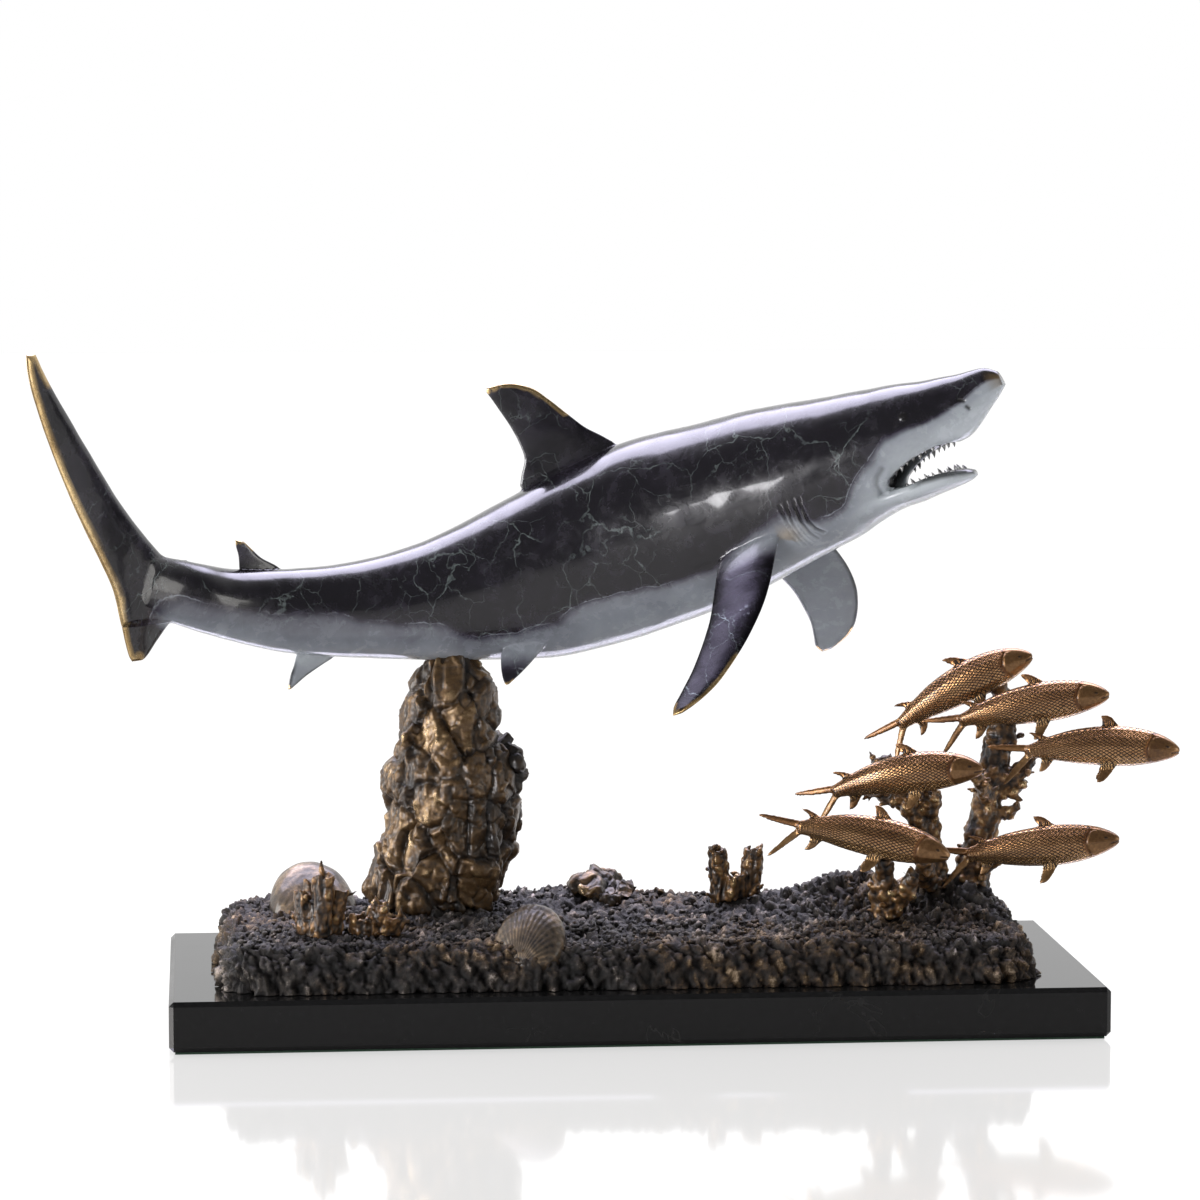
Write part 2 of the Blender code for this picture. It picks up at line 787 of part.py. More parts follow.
ANAL_OUTLINE = (
    (0.40, 1.45, 0.35),
    (0.56, 1.20, 0.28),
    (0.70, 0.85, 0.23),
    (0.82, 0.55, 0.17),
    (0.93, 0.32, 0.14),
    (1.00, 0.18, 0.13),
)
PELVIC_OUTLINE = (
    (-0.40, 0.50, -0.50),
    (0.00, 0.50, -0.50),
    (0.35, 0.34, -0.42),
    (0.70, 0.14, -0.30),
    (0.92, -0.02, -0.20),
    (1.00, -0.08, -0.14),
)
# Places of the fins along the body, and roots of the paired ones in the section
DORSAL_PLACE = 0.471
SECOND_DORSAL_PLACE = 0.125
ANAL_PLACE = 0.187
TAIL_PLACE = 0.012
PECTORAL_PLACE = 0.693
PECTORAL_ROOT = (0.80, 0.50)
FAR_PECTORAL_CHORD = 1.10 * PECTORAL_CHORD
NEAR_PELVIC_PLACE = 0.424
FAR_PELVIC_PLACE = 0.434
PELVIC_ROOT = (0.60, 0.80)
# Poses of the paired fins: sweep back, spread outwards and droop, as shares of the reach
NEAR_PECTORAL_POSE = (-0.40, 0.60, -0.69)
FAR_PECTORAL_POSE = (-0.12, 0.60, -0.63)
NEAR_PELVIC_POSE = (-0.58, 0.30, -0.77)
FAR_PELVIC_POSE = (-0.35, 0.30, -0.80)


def keel_fin(t, outline, reach, chord, upward, thickness):
    """Rings of a fin in the body's middle plane."""
    ahead, _, above = shark_heading(t)
    return fin_rings(spine_point(t), above * (reach * upward), ahead * chord, outline, thickness)


def paired_fin(t, hand, place, pose, outline, reach, chord, bow):
    """Rings of a fin on one flank, its root given as shares of half width and of the depth."""
    ahead, side, above = shark_heading(t)
    _, below, half = body_size(t)
    root = body_point(t, hand * half * place[0], -below * place[1])
    sweep, spread, droop = pose
    span = (ahead * sweep + side * (hand * spread) + above * droop) * reach
    return fin_rings(root, span, ahead * chord, outline, FIN_THICKNESS, bow)


def tail_rings(outline, reach):
    """Rings of one lobe of the tail, upright in the plane of the tail's root."""
    _, right, _ = shark_heading(0.0)
    ahead = Vector((-right.y, right.x, 0.0))
    span = Vector((0, 0, reach))
    return fin_rings(body_point(TAIL_PLACE), span, ahead * TAIL_CHORD, outline, FIN_THICKNESS)


def pelvic_rings():
    """Both pelvic fins, beside the column."""
    near = (NEAR_PELVIC_PLACE, 1, PELVIC_ROOT, NEAR_PELVIC_POSE)
    far = (FAR_PELVIC_PLACE, -1, PELVIC_ROOT, FAR_PELVIC_POSE)
    fins = []
    for t, hand, place, pose in (near, far):
        bow = PELVIC_BOW * hand
        fins.append(paired_fin(t, hand, place, pose, PELVIC_OUTLINE, PELVIC_REACH, PELVIC_CHORD, bow))
    return fins


def shark_seat_rings():
    """The parts of the shark that meet the column."""
    return [body_rings(SHARK_SEAT - 0.10, SHARK_SEAT + 0.14, 11)] + pelvic_rings()


def make_shark(finish):
    """One casting: trunk, head, open jaws, teeth and all the fins."""
    shark = loft_object("shark", body_rings())
    shark.data.materials.append(finish)
    rings = [jaw_rings()]
    rings.append(keel_fin(DORSAL_PLACE, DORSAL_OUTLINE, DORSAL_HEIGHT, DORSAL_CHORD, 1, FIN_THICKNESS))
    second = (SECOND_DORSAL_PLACE, SECOND_DORSAL_OUTLINE, SECOND_DORSAL_HEIGHT, SECOND_DORSAL_CHORD)
    rings.append(keel_fin(*second, 1, SMALL_FIN_THICKNESS))
    rings.append(keel_fin(ANAL_PLACE, ANAL_OUTLINE, ANAL_REACH, ANAL_CHORD, -1, SMALL_FIN_THICKNESS))
    rings.append(tail_rings(TAIL_UPPER_OUTLINE, TAIL_REACH))
    rings.append(tail_rings(TAIL_LOWER_OUTLINE, -TAIL_LOWER_REACH))
    near = (1, PECTORAL_ROOT, NEAR_PECTORAL_POSE, PECTORAL_OUTLINE, PECTORAL_REACH, PECTORAL_CHORD, 0)
    far = (-1, PECTORAL_ROOT, FAR_PECTORAL_POSE, PECTORAL_OUTLINE, PECTORAL_REACH, FAR_PECTORAL_CHORD, 0)
    rings += [paired_fin(PECTORAL_PLACE, *side) for side in (near, far)]
    rings += pelvic_rings()
    combine(shark, [loft_object("limb", ring) for ring in rings], "UNION")
    gaps = [loft_object("mouth", gap_rings(shape)) for shape in (MOUTH_SLIT, MOUTH_HOLLOW)]
    combine(shark, gaps, "DIFFERENCE")
    combine(shark, teeth(), "UNION")
    shark.data.shade_smooth()
    shark.data.set_sharp_from_angle(angle=math.radians(50))
    return shark


# Small fish

# Snout and tail root of each fish, the rise of its back between them and the backward lean of
# its first fin, in millimetres
FISH = (
    ((216, 20, 180), (147, 38, 141), 5, 8.0),
    ((253, 0, 161.5), (177, 19, 146), 3, 6.5),
    ((288, -11, 133), (213, 0, 132), 3.5, 2.5),
    ((183, -22, 126), (108, 0, 112), 4.5, 6.0),
    ((162, -45, 84.5), (90, -34, 98), 3.5, 4.0),
    ((252.5, -32, 90.5), (176, -14, 80.5), 1, 5.0),
)
# Share of the length from the snout, height above, depth below and half width as shares
FISH_STATIONS = (
    (0.00, 0.16, 0.16, 0.16),
    (0.04, 0.42, 0.42, 0.48),
    (0.12, 0.72, 0.72, 0.80),
    (0.24, 0.94, 1.00, 0.98),
    (0.38, 1.04, 1.14, 1.00),
    (0.54, 1.02, 1.10, 0.92),
    (0.70, 0.90, 0.92, 0.76),
    (0.84, 0.68, 0.64, 0.54),
    (0.94, 0.48, 0.42, 0.36),
    (1.00, 0.36, 0.34, 0.24),
)
# Fins: share of the length, reach, chord and lean in millimetres, sideways share, direction
FISH_FINS = (
    (0.44, 8.5, 10.5, 0.0, 0.0, 1),
    (0.86, 5.5, 7.5, 7.0, 0.0, 1),
    (0.86, 7.5, 8.0, 4.0, 0.0, -1),
    (0.45, 11.0, 9.0, 4.5, 0.35, -1),
)
FISH_FIN_OUTLINE = (
    (0.00, 0.50, -0.50),
    (0.50, 0.34, -0.44),
    (0.85, 0.16, -0.42),
    (1.00, -0.08, -0.36),
)
FISH_TAIL_OUTLINE = (
    (-0.10, 0.50, -0.42),
    (0.35, 0.38, -0.50),
    (0.75, 0.20, -0.44),
    (1.00, 0.00, -0.26),
)
# Tilt of the tail below the fish's line, its root and the chord of a lobe
FISH_TAIL_TILT = 13.0
FISH_TAIL_ROOT = (0.002, 0.001)
FISH_TAIL_CHORD = 0.0105
FISH_FIN_SINK = 0.72


def fish_frame(snout, tail, rise, t):
    """Point and directions of a fish's arched middle line, from its snout to its tail."""
    middle = (snout + tail) / 2 + Vector((0, 0, 2 * rise))
    centre = snout * (1 - t) ** 2 + middle * (2 * t * (1 - t)) + tail * t**2
    back = ((middle - snout) * (1 - t) + (tail - middle) * t).normalized()
    right = back.cross(Vector((0, 0, 1))).normalized()
    return centre, -back, right, right.cross(-back) * -1


def fish_rings(index):
    """Rings of a fish's body and of each of its fins."""
    snout = Vector(FISH[index][0]) * MM + Vector((REEF_X, 0, 0))
    tail = Vector(FISH[index][1]) * MM + Vector((REEF_X, 0, 0))
    rise = FISH[index][2] * MM
    way = (tail - snout).normalized()
    tail = snout + way * FISH_LENGTH
    around = 12
    body = []
    for t, above, below, wide in FISH_STATIONS:
        centre, ahead, right, up = fish_frame(snout, tail, rise, t)
        ring = []
        for i in range(around):
            angle = 2 * math.pi * i / around
            height = (above if math.sin(angle) > 0 else below) * FISH_DEPTH / 2
            half = wide * FISH_WIDTH / 2
            ring.append(centre + right * (half * math.cos(angle)) + up * (height * math.sin(angle)))
        body.append(ring)
    parts = [body]
    for t, reach, chord, sweep, spread, way_up in FISH_FINS:
        sweep = sweep or FISH[index][3]
        centre, ahead, right, up = fish_frame(snout, tail, rise, t)
        hands = (0,) if spread == 0 else (-1, 1)
        for hand in hands:
            above = smooth_value(FISH_STATIONS, 1 if way_up > 0 else 2, t) * FISH_DEPTH / 2
            half = smooth_value(FISH_STATIONS, 3, t) * FISH_WIDTH / 2
            beside = hand * spread * half + FISH_FIN_OFFSET * len(parts)
            root = centre + up * (way_up * above * FISH_FIN_SINK) + right * beside
            span = up * (way_up * reach) + right * (hand * spread * reach) - ahead * sweep
            thick = FISH_FIN_THICKNESS * (1 + FISH_FIN_STEP * len(parts))
            parts.append(fin_rings(root, span * MM, ahead * (chord * MM), FISH_FIN_OUTLINE, thick))
    centre, ahead, right, up = fish_frame(snout, tail, rise, 1.0)
    tilt = math.radians(FISH_TAIL_TILT)
    way = -ahead * math.cos(tilt) - up * math.sin(tilt)
    rise_way = up * math.cos(tilt) - ahead * math.sin(tilt)
    for hand in (-1, 1):
        curl = right * (hand * FISH_TAIL_CURL)
        span = rise_way * (hand * FISH_TAIL_SPREAD) + way * FISH_TAIL_REACH + curl
        root = centre - way * FISH_TAIL_ROOT[0] + rise_way * (hand * FISH_TAIL_ROOT[1])
        thick = FISH_TAIL_THICKNESS * (1 + FISH_TAIL_STEP * hand)
        parts.append(fin_rings(root, span, -way * FISH_TAIL_CHORD, FISH_TAIL_OUTLINE, thick))
    return parts


def make_fish(index, finish):
    """One small fish, cast whole with its fins."""
    parts = fish_rings(index)
    fish = loft_object("fish_%d" % (index + 1), parts[0])
    fish.data.materials.append(finish)
    combine(fish, [loft_object("fin", part) for part in parts[1:]], "UNION")
    fish.data.shade_smooth()
    fish.data.set_sharp_from_angle(angle=math.radians(50))
    return fish


def fish_cutters(indices):
    """Fish with their clearance, for cutting the coral that carries them."""
    return [
        loft_object("fish_cutter", part, CLEARANCE) for index in indices for part in fish_rings(index)
    ]


# Coral

# Each branch is a list of points in millimetres: X, Y, Z and thickness share
CORAL_TRUNK = (
    (178, 0, 50, 1.6),
    (183, 2, 78, 1.3),
    (189, 5, 98, 1.3),
    (192, 7, 114, 1.15),
    (198, 10, 137, 1.25),
    (200, 14, 158, 0.9),
)
CORAL_TALL = (
    CORAL_TRUNK,
    ((198, 9, 128, 1.0), (203, 24, 148, 0.7), (199, 25, 168, 0.6)),
    ((194, 7, 112, 0.9), (205, 6, 119, 0.7), (214, 3, 127, 0.5)),
    ((191, 5, 105, 0.8), (187, -6, 112, 0.6), (180, -19, 122, 0.4)),
    ((188, 4, 98, 0.6), (199, 2, 100, 0.5), (206, -1, 104, 0.3)),
    ((192, 6, 110, 0.6), (202, 5, 110, 0.5), (210, 4, 115, 0.3)),
    ((182, 1, 70, 1.0), (189, -9, 76, 0.7), (196, -17, 84, 0.5)),
)
CORAL_SHORT = (
    ((160, -4, 50, 1.5), (160, -3, 76, 1.15), (156, -2, 94, 1.2), (159, -8, 114, 0.8)),
    ((158, -3, 88, 1.0), (149, -4, 103, 0.85), (141, -5, 114, 0.6)),
    ((150, -3, 100, 0.7), (140, 6, 112, 0.6), (133, 13, 128, 0.7)),
    ((160, -4, 62, 1.0), (154, -18, 72, 0.8), (151, -34, 82, 0.6)),
    ((140, -4, 108, 0.6), (128, 2, 112, 0.45), (119, 6, 114, 0.35)),
)
CORAL_LOW = (
    ((133, -22, 44, 1.6), (132, -27, 62, 1.2), (130, -33, 76, 0.8), (128, -38, 86, 0.6)),
    ((133, -24, 54, 1.0), (139, -36, 64, 0.8), (144, -44, 76, 0.5)),
)
CORAL_AROUND = 10


def branch_rings(points):
    """Rings of one knobbly branch along its points."""
    places = [Vector(point[:3]) * MM + Vector((REEF_X, 0, 0)) for point in points]
    sizes = [point[3] * CORAL_THICKNESS / 2 for point in points]
    steps = 4 * (len(points) - 1)
    table = [(k, *place, size) for k, (place, size) in enumerate(zip(places, sizes))]
    samples = [
        [smooth_value(table, column, k * (len(points) - 1) / steps) for column in (1, 2, 3, 4)]
        for k in range(steps + 1)
    ]
    rings = []
    for k, (x, y, z, size) in enumerate(samples):
        before = Vector(samples[max(k - 1, 0)][:3])
        after = Vector(samples[min(k + 1, steps)][:3])
        way = (after - before).normalized()
        across = way.cross(Vector((0.3, 0.9, 0.1))).normalized()
        other = way.cross(across)
        centre = Vector((x, y, z))
        ring = []
        for i in range(CORAL_AROUND):
            angle = 2 * math.pi * i / CORAL_AROUND
            out = across * math.cos(angle) + other * math.sin(angle)
            knob = 1.0 + 0.30 * lump(centre + out * size, 0.0075, 9.0)
            ring.append(centre + out * (size * knob))
        rings.append(ring)
    return rings


def make_coral(name, branches, neighbours, finish):
    """Coral grown from the bed, ending against the fish that it carries."""
    stems = [loft_object("branch", branch_rings(points)) for points in branches]
    coral = stems[0]
    coral.name = name
    coral.data.materials.append(finish)
    combine(coral, stems[1:], "UNION")
    beside = [branch_rings(points) for stems in neighbours for points in stems]
    tools = [bed_cutter()] + fish_cutters(range(len(FISH)))
    tools += [loft_object("beside", rings, CLEARANCE) for rings in beside]
    return combine(coral, tools, "DIFFERENCE")


# Sponges: foot in millimetres, then tubes as lean in X and Y, height share and width share
SPONGES = {
    "tube_sponge_left": (
        (-161, -52),
        ((-7, 2, 0.80, 0.85), (3, -4, 1.10, 1.0), (12, 3, 0.85, 0.75), (-2, 9, 0.95, 0.8)),
    ),
    "tube_sponge_middle": ((60, 30), ((-9, 0, 1.05, 0.9), (1, -3, 0.55, 1.0), (11, 2, 1.0, 0.95))),
    "sponge_knob": ((-133, -46), ((-6, 0, 0.36, 1.1), (4, 2, 0.55, 1.0), (12, -1, 0.34, 0.9))),
}


def sponge_rings(foot, lean_x, lean_y, tall, wide):
    """Rings of one ragged tube with an open, dished mouth."""
    top = SPONGE_HEIGHT * tall
    base = BED_TOP - SPONGE_ROOT
    rings = []
    levels = ((0.0, 1.35), (0.25, 1.1), (0.5, 0.95), (0.75, 1.0), (1.0, 0.92), (0.97, 0.62), (0.80, 0.5))
    for k, (level, share) in enumerate(levels):
        ring = []
        for i in range(10):
            angle = 2 * math.pi * i / 10
            out = Vector((math.cos(angle), math.sin(angle), 0))
            lean = Vector((lean_x, lean_y, 0)) * (MM * (0.55 + 0.45 * level))
            centre = Vector((along_bed(foot[0]), foot[1] * MM, base)) + lean
            ragged = 1 + 0.22 * lump(centre + out * 0.02 + Vector((0, 0, level * 0.02)), 0.008, k // 5)
            notch = SPONGE_NOTCH * lump(centre + out * 0.01, 0.006, 4.0) * (level > 0.9)
            height = Vector((0, 0, (top + SPONGE_ROOT) * level + notch))
            ring.append(centre + height + out * (SPONGE_TUBE / 2 * wide * share * ragged))
        rings.append(ring)
    return rings


def make_sponge(name, finish):
    """A cluster of ragged tubes joined at the foot."""
    foot, tubes = SPONGES[name]
    parts = [loft_object("tube", sponge_rings(foot, *tube)) for tube in tubes]
    sponge = parts[0]
    sponge.name = name
    sponge.data.materials.append(finish)
    combine(sponge, parts[1:], "UNION")
    return combine(sponge, [bed_cutter()], "DIFFERENCE")


def shell_object(name, width, rise, ribs, rib_height, place, turn, tilt, finish):
    """A ribbed bivalve shell: a fan of ribs from its hinge over a domed back."""
    bm = bmesh.new()
    around, steps = ribs * 2, 5
    rings = []
    for k in range(steps + 1):
        share = math.sin(math.pi / 2 * (1 - k / (steps + 0.6)))
        dome = math.sqrt(max(1 - share**2, 0.0))
        ring = []
        for i in range(around):
            angle = 2 * math.pi * i / around
            rib = 1 + rib_height * (1 if i % 2 else -1) * share
            hinge = Vector((0, width * 0.30 * dome, 0))
            out = Vector((math.cos(angle) * width / 2, math.sin(angle) * width * 0.45, 0)) * share
            ring.append(hinge + out * rib + Vector((0, 0, rise * dome * rib)))
        rings.append(ring)
    floor = [Vector((point.x, point.y, -SHELL_ROOT)) for point in rings[0]]
    loft(bm, [floor] + rings)
    turning = Matrix.Rotation(math.radians(turn), 4, "Z") @ Matrix.Rotation(math.radians(tilt), 4, "X")
    bmesh.ops.transform(bm, matrix=Matrix.Translation(place) @ turning, verts=bm.verts)
    bmesh.ops.recalc_face_normals(bm, faces=bm.faces)
    bmesh.ops.triangulate(bm, faces=bm.faces)
    shell = finish_object(name, bm, finish)
    return combine(shell, [bed_cutter()], "DIFFERENCE")


# Shells and stone: width, rise, ribs, height of a rib as a share, place in millimetres with its
# height above the bed's flat, then turn and tilt in degrees
SHELLS = {
    "shell_front": (SHELL_WIDTH, SHELL_RISE, 16, 0.022, (-55, -70, -1), -28, 30),
    "shell_rear": (REAR_SHELL_WIDTH, REAR_SHELL_RISE, 12, 0.010, (-160, 46, -2), 10, 12),
    "rear_stone": (REAR_ROCK_WIDTH, REAR_ROCK_RISE, 8, 0.05, (-3, 56, -1), 70, 4),
}


def make_shells(finish):
    """The cockle at the front, the plain shell behind, and the rounded stone at the rear."""
    for name, (width, rise, ribs, rib_height, place, turn, tilt) in SHELLS.items():
        centre = Vector((along_bed(place[0]), place[1] * MM, BED_TOP + place[2] * MM))
        shell_object(name, width, rise, ribs, rib_height, centre, turn, tilt, finish)


def main():
    """Build every piece of the sculpture."""
    clear_scene()
    felt = material("green_felt", (0.03, 0.06, 0.04), 0.95, 0.0)
    marble = material("black_marble", (0.012, 0.012, 0.012), 0.08, 0.0)
    steel = material("zinc_steel", (0.55, 0.56, 0.57), 0.35, 1.0)
    sand = material("dark_bronze_bed", (0.06, 0.048, 0.035), 0.45, 0.8)
    rock = material("brown_bronze_rock", (0.16, 0.10, 0.05), 0.40, 0.8)
    skin = material("blue_black_patina", (0.03, 0.03, 0.045), 0.18, 0.3)
    copper = material("copper_patina", (0.35, 0.17, 0.07), 0.32, 0.9)
    shell = material("brown_shell", (0.22, 0.15, 0.09), 0.35, 0.8)
    make_felt(felt)
    make_plinth(marble)
    make_fixings(steel)
    make_bed(sand)
    make_pillar(rock)
    make_shark(skin)
    for index in range(len(FISH)):
        make_fish(index, copper)
    make_coral("coral_tall", CORAL_TALL, (), rock)
    make_coral("coral_short", CORAL_SHORT, (CORAL_TALL,), rock)
    make_coral("coral_low", CORAL_LOW, (CORAL_TALL, CORAL_SHORT), rock)
    for name in SPONGES:
        make_sponge(name, rock)
    make_shells(shell)


main()
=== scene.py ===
import math
import random

import bmesh
import bpy
from mathutils import Matrix, Vector, kdtree, noise


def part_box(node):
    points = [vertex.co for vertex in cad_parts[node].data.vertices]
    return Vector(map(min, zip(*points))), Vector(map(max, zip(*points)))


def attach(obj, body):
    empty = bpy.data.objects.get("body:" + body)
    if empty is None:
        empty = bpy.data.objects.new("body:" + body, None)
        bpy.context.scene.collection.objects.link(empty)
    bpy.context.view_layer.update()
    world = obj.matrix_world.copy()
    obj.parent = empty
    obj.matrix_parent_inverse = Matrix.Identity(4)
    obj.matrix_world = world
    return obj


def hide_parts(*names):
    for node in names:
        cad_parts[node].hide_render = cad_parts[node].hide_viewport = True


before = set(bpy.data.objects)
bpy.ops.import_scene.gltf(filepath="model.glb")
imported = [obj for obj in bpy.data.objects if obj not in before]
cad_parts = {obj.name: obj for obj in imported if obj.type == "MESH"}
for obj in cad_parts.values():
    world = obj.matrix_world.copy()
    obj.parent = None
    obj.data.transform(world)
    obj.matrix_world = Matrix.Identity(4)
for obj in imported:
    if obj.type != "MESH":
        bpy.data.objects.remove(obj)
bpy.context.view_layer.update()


# Felt, plinth and fixings: a polished slab of black marble stands on a felt sheet. Two bolts
# with washers come up through it from below and hold the bronze down.


class Tone:
    """A value in a finish: sums on it add Math nodes, and node() adds any other node."""

    def __init__(self, tree, socket=None):
        self.tree = tree
        self.socket = socket

    def node(self, kind, settings=None, feeds=None, output=0):
        made = self.tree.nodes.new(kind)
        for key, value in (settings or {}).items():
            if key == "stops":
                ramp = made.color_ramp
                ramp.elements[0].position = value[0][0]
                ramp.elements[-1].position = value[-1][0]
                for place, _ in value[1:-1]:
                    ramp.elements.new(place)
                for stop, (_, colour) in zip(ramp.elements, value):
                    stop.color = (*colour, 1.0)
            else:
                setattr(made, key, value)
        for key, value in (feeds or {}).items():
            self.feed(made.inputs[key], value)
        return None if output is None else Tone(self.tree, made.outputs[output])

    def feed(self, socket, value):
        if isinstance(value, Tone):
            self.tree.links.new(value.socket, socket)
        elif isinstance(value, tuple) and len(value) == 3 and socket.type == "RGBA":
            socket.default_value = (*value, 1.0)
        else:
            socket.default_value = value

    def maths(self, operation, *values):
        return self.node("ShaderNodeMath", {"operation": operation}, dict(enumerate(values)))

    def __add__(self, other):
        return self.maths("ADD", self, other)

    def __sub__(self, other):
        return self.maths("SUBTRACT", self, other)

    def __rsub__(self, other):
        return self.maths("SUBTRACT", other, self)

    def __mul__(self, other):
        return self.maths("MULTIPLY", self, other)

    __radd__ = __add__
    __rmul__ = __mul__

    def place(self):
        return self.node("ShaderNodeTexCoord", output="Object")

    def stored(self, name):
        return self.node("ShaderNodeAttribute", {"attribute_name": name}, output="Fac")

    def cloud(self, place, scale, detail=4.0, rough=0.55, warp=0.0):
        feeds = {"Vector": place, "Scale": scale, "Detail": detail}
        feeds.update({"Roughness": rough, "Distortion": warp})
        return self.node("ShaderNodeTexNoise", {}, feeds, "Fac")

    def step(self, value, low, high, start=0.0, end=1.0):
        feeds = {"Value": value, "From Min": low, "From Max": high, "To Min": start, "To Max": end}
        return self.node("ShaderNodeMapRange", {"interpolation_type": "SMOOTHSTEP"}, feeds)

    def ramp(self, value, *stops):
        return self.node("ShaderNodeValToRGB", {"stops": stops}, {"Fac": value}, "Color")

    def mix(self, share, first, second):
        return self.node("ShaderNodeMix", {"data_type": "RGBA"}, {0: share, 6: first, 7: second}, 2)

    def bump(self, height, strength, distance):
        feeds = {"Height": height, "Strength": strength, "Distance": distance}
        return self.node("ShaderNodeBump", {}, feeds)


def finish(name, **constants):
    """A new finish with its constant sockets set, and a Tone to build the rest from."""
    made = bpy.data.materials.new(name)
    made.use_nodes = True
    shader = made.node_tree.nodes["Principled BSDF"]
    for socket, value in constants.items():
        shader.inputs[socket.replace("_", " ")].default_value = value
    return made, Tone(made.node_tree)


def wear(made, **feeds):
    """Lead what varies over the surface into the shader's sockets."""
    shader = made.node_tree.nodes["Principled BSDF"]
    for socket, value in feeds.items():
        Tone(made.node_tree).feed(shader.inputs[socket.replace("_", " ")], value)
    return made


def repaint(made, *nodes):
    """Give CAD nodes their finish."""
    for node in nodes:
        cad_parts[node].data.materials.clear()
        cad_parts[node].data.materials.append(made)


def felt_finish():
    made, tone = finish("dark green felt", Roughness=0.95)
    fluff = tone.cloud(tone.place(), 900.0, 6.0)
    colour = tone.ramp(fluff, (0.3, (0.012, 0.030, 0.018)), (0.75, (0.030, 0.065, 0.040)))
    return wear(made, Base_Color=colour, Normal=tone.bump(fluff, 0.5, 0.0004))


def marble_finish():
    made, tone = finish("polished black marble", Specular_IOR_Level=0.3)
    place = tone.place()
    grain = tone.cloud(place, 420.0, 3.0)
    drift = tone.cloud(place, 11.0, 5.0, 0.6, 0.6)
    vein = tone.step((drift - 0.5).maths("ABSOLUTE", drift - 0.5), 0.0, 0.006, 1.0, 0.0)
    vein = vein * tone.step(tone.cloud(place, 5.0, 2.0), 0.52, 0.7)
    colour = tone.ramp(grain, (0.3, (0.0045, 0.0045, 0.0048)), (0.8, (0.009, 0.009, 0.0092)))
    colour = tone.mix(vein * 0.25, colour, (0.06, 0.058, 0.055))
    smear = tone.cloud(place, 24.0, 4.0, 0.6, 0.5)
    return wear(made, Base_Color=colour, Roughness=tone.step(smear, 0.35, 0.75, 0.05, 0.13))


def steel_finish():
    made, tone = finish("zinc plated steel", Metallic=1.0)
    spangle = tone.cloud(tone.place(), 600.0, 3.0)
    colour = tone.ramp(spangle, (0.3, (0.42, 0.43, 0.44)), (0.7, (0.56, 0.57, 0.58)))
    return wear(made, Base_Color=colour, Roughness=tone.step(spangle, 0.3, 0.7, 0.28, 0.42))


repaint(felt_finish(), "felt_base")
repaint(marble_finish(), "plinth")
repaint(steel_finish(), "washer_left", "washer_right", "fixing_bolt_left", "fixing_bolt_right")


# Seabed: one casting of sand and grit that fills the plinth's top. Its flat is pitted all over
# and drops over a steep bank, and it swells into mounds under the column and the coral.

BED_CELLS = ((430, 196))
BED_CORNER = 0.030
BED_HALF_LENGTH, BED_HALF_DEPTH = 0.207, 0.088
JOINT_GAP = 0.0003
BED_HEIGHT = 0.0215
BED_DROP = 0.011
BANK_FOOT = 0.004
# Mounds: X, Y, height above the flat and radius, in millimetres
MOUNDS = (
    (-92, 24, 6, 46),
    (-165, -40, 3, 30),
    (122, 22, 20, 36),
    (-36, 66, 3, 40),
    (172, -4, 18, 30),
    (70, 28, 5, 26),
    (-6, 62, 5, 24),
    (112, -52, 4, 30),
    (-40, -58, -4, 26),
    (40, -50, -2, 34),
)


def lump(point, size, seed):
    """Smooth noise between -1 and 1 with features of about the given size."""
    return noise.noise(Vector(point) / size + Vector((seed, 2.3 * seed, -seed)))


def facets(point, size, seed):
    """Tilted flat faces of broken stones: a height, the distance from a crack and a tone."""
    spot = point / size + Vector((seed, seed, seed))
    near, cores = noise.voronoi(spot)
    tilt = noise.cell_vector(cores[0] * 7.3) * 2 - Vector((1, 1, 1))
    return tilt.dot(spot - cores[0]), near[1] - near[0], tilt.x


def sway_of(point, size, amount):
    """A smooth sideways drift, which bends the lines of a relief."""
    return Vector([lump(point, size, seed) for seed in (1, 2, 3)]) * amount


def bed_place():
    """Middle of the bed along X, and the height that it stands at."""
    low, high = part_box("seabed")
    return ((low + high) / 2).x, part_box("plinth")[1].z + JOINT_GAP


def quarter(x, y, half_x, half_y):
    """A point of the rectangle moved into the same rectangle with round corners."""
    px = abs(x) - half_x + BED_CORNER
    py = abs(y) - half_y + BED_CORNER
    if px <= 0 or py <= 0:
        return x, y
    u, v = px / BED_CORNER, py / BED_CORNER
    px = half_x - BED_CORNER + BED_CORNER * u * math.sqrt(1 - v * v / 2)
    py = half_y - BED_CORNER + BED_CORNER * v * math.sqrt(1 - u * u / 2)
    return math.copysign(px, x), math.copysign(py, y)


def bed_level(x, y):
    """Height of the bed's top above the plinth."""
    height = BED_HEIGHT
    for mound_x, mound_y, rise, radius in MOUNDS:
        away = math.hypot(x * 1000 - mound_x, y * 1000 - mound_y) / radius
        height += rise / 1000 * math.exp(-away * away * 1.4)
    return height + 0.0016 * (lump((x, y, 0), 0.022, 3.0) + 0.6 * lump((x, y, 0), 0.009, 7.0))


def shift(moves):
    """Move every point along its normal, once all the moves are known."""
    for vert, push in moves:
        vert.co += vert.normal * push


def relieve(bm, relief):
    """Push every point out along its normal by relief(), and keep the tone it gives."""
    tone = bm.verts.layers.float.new("relief")
    bm.normal_update()
    moves = []
    for vert in bm.verts:
        push, vert[tone] = relief(vert.co, vert.normal)
        moves.append((vert, push))
    shift(moves)


def stand(name, bm):
    """An object with a bmesh's faces; the bmesh is used up."""
    body = bpy.data.objects.new(name, bpy.data.meshes.new(name))
    bpy.context.collection.objects.link(body)
    bm.to_mesh(body.data)
    bm.free()
    return body


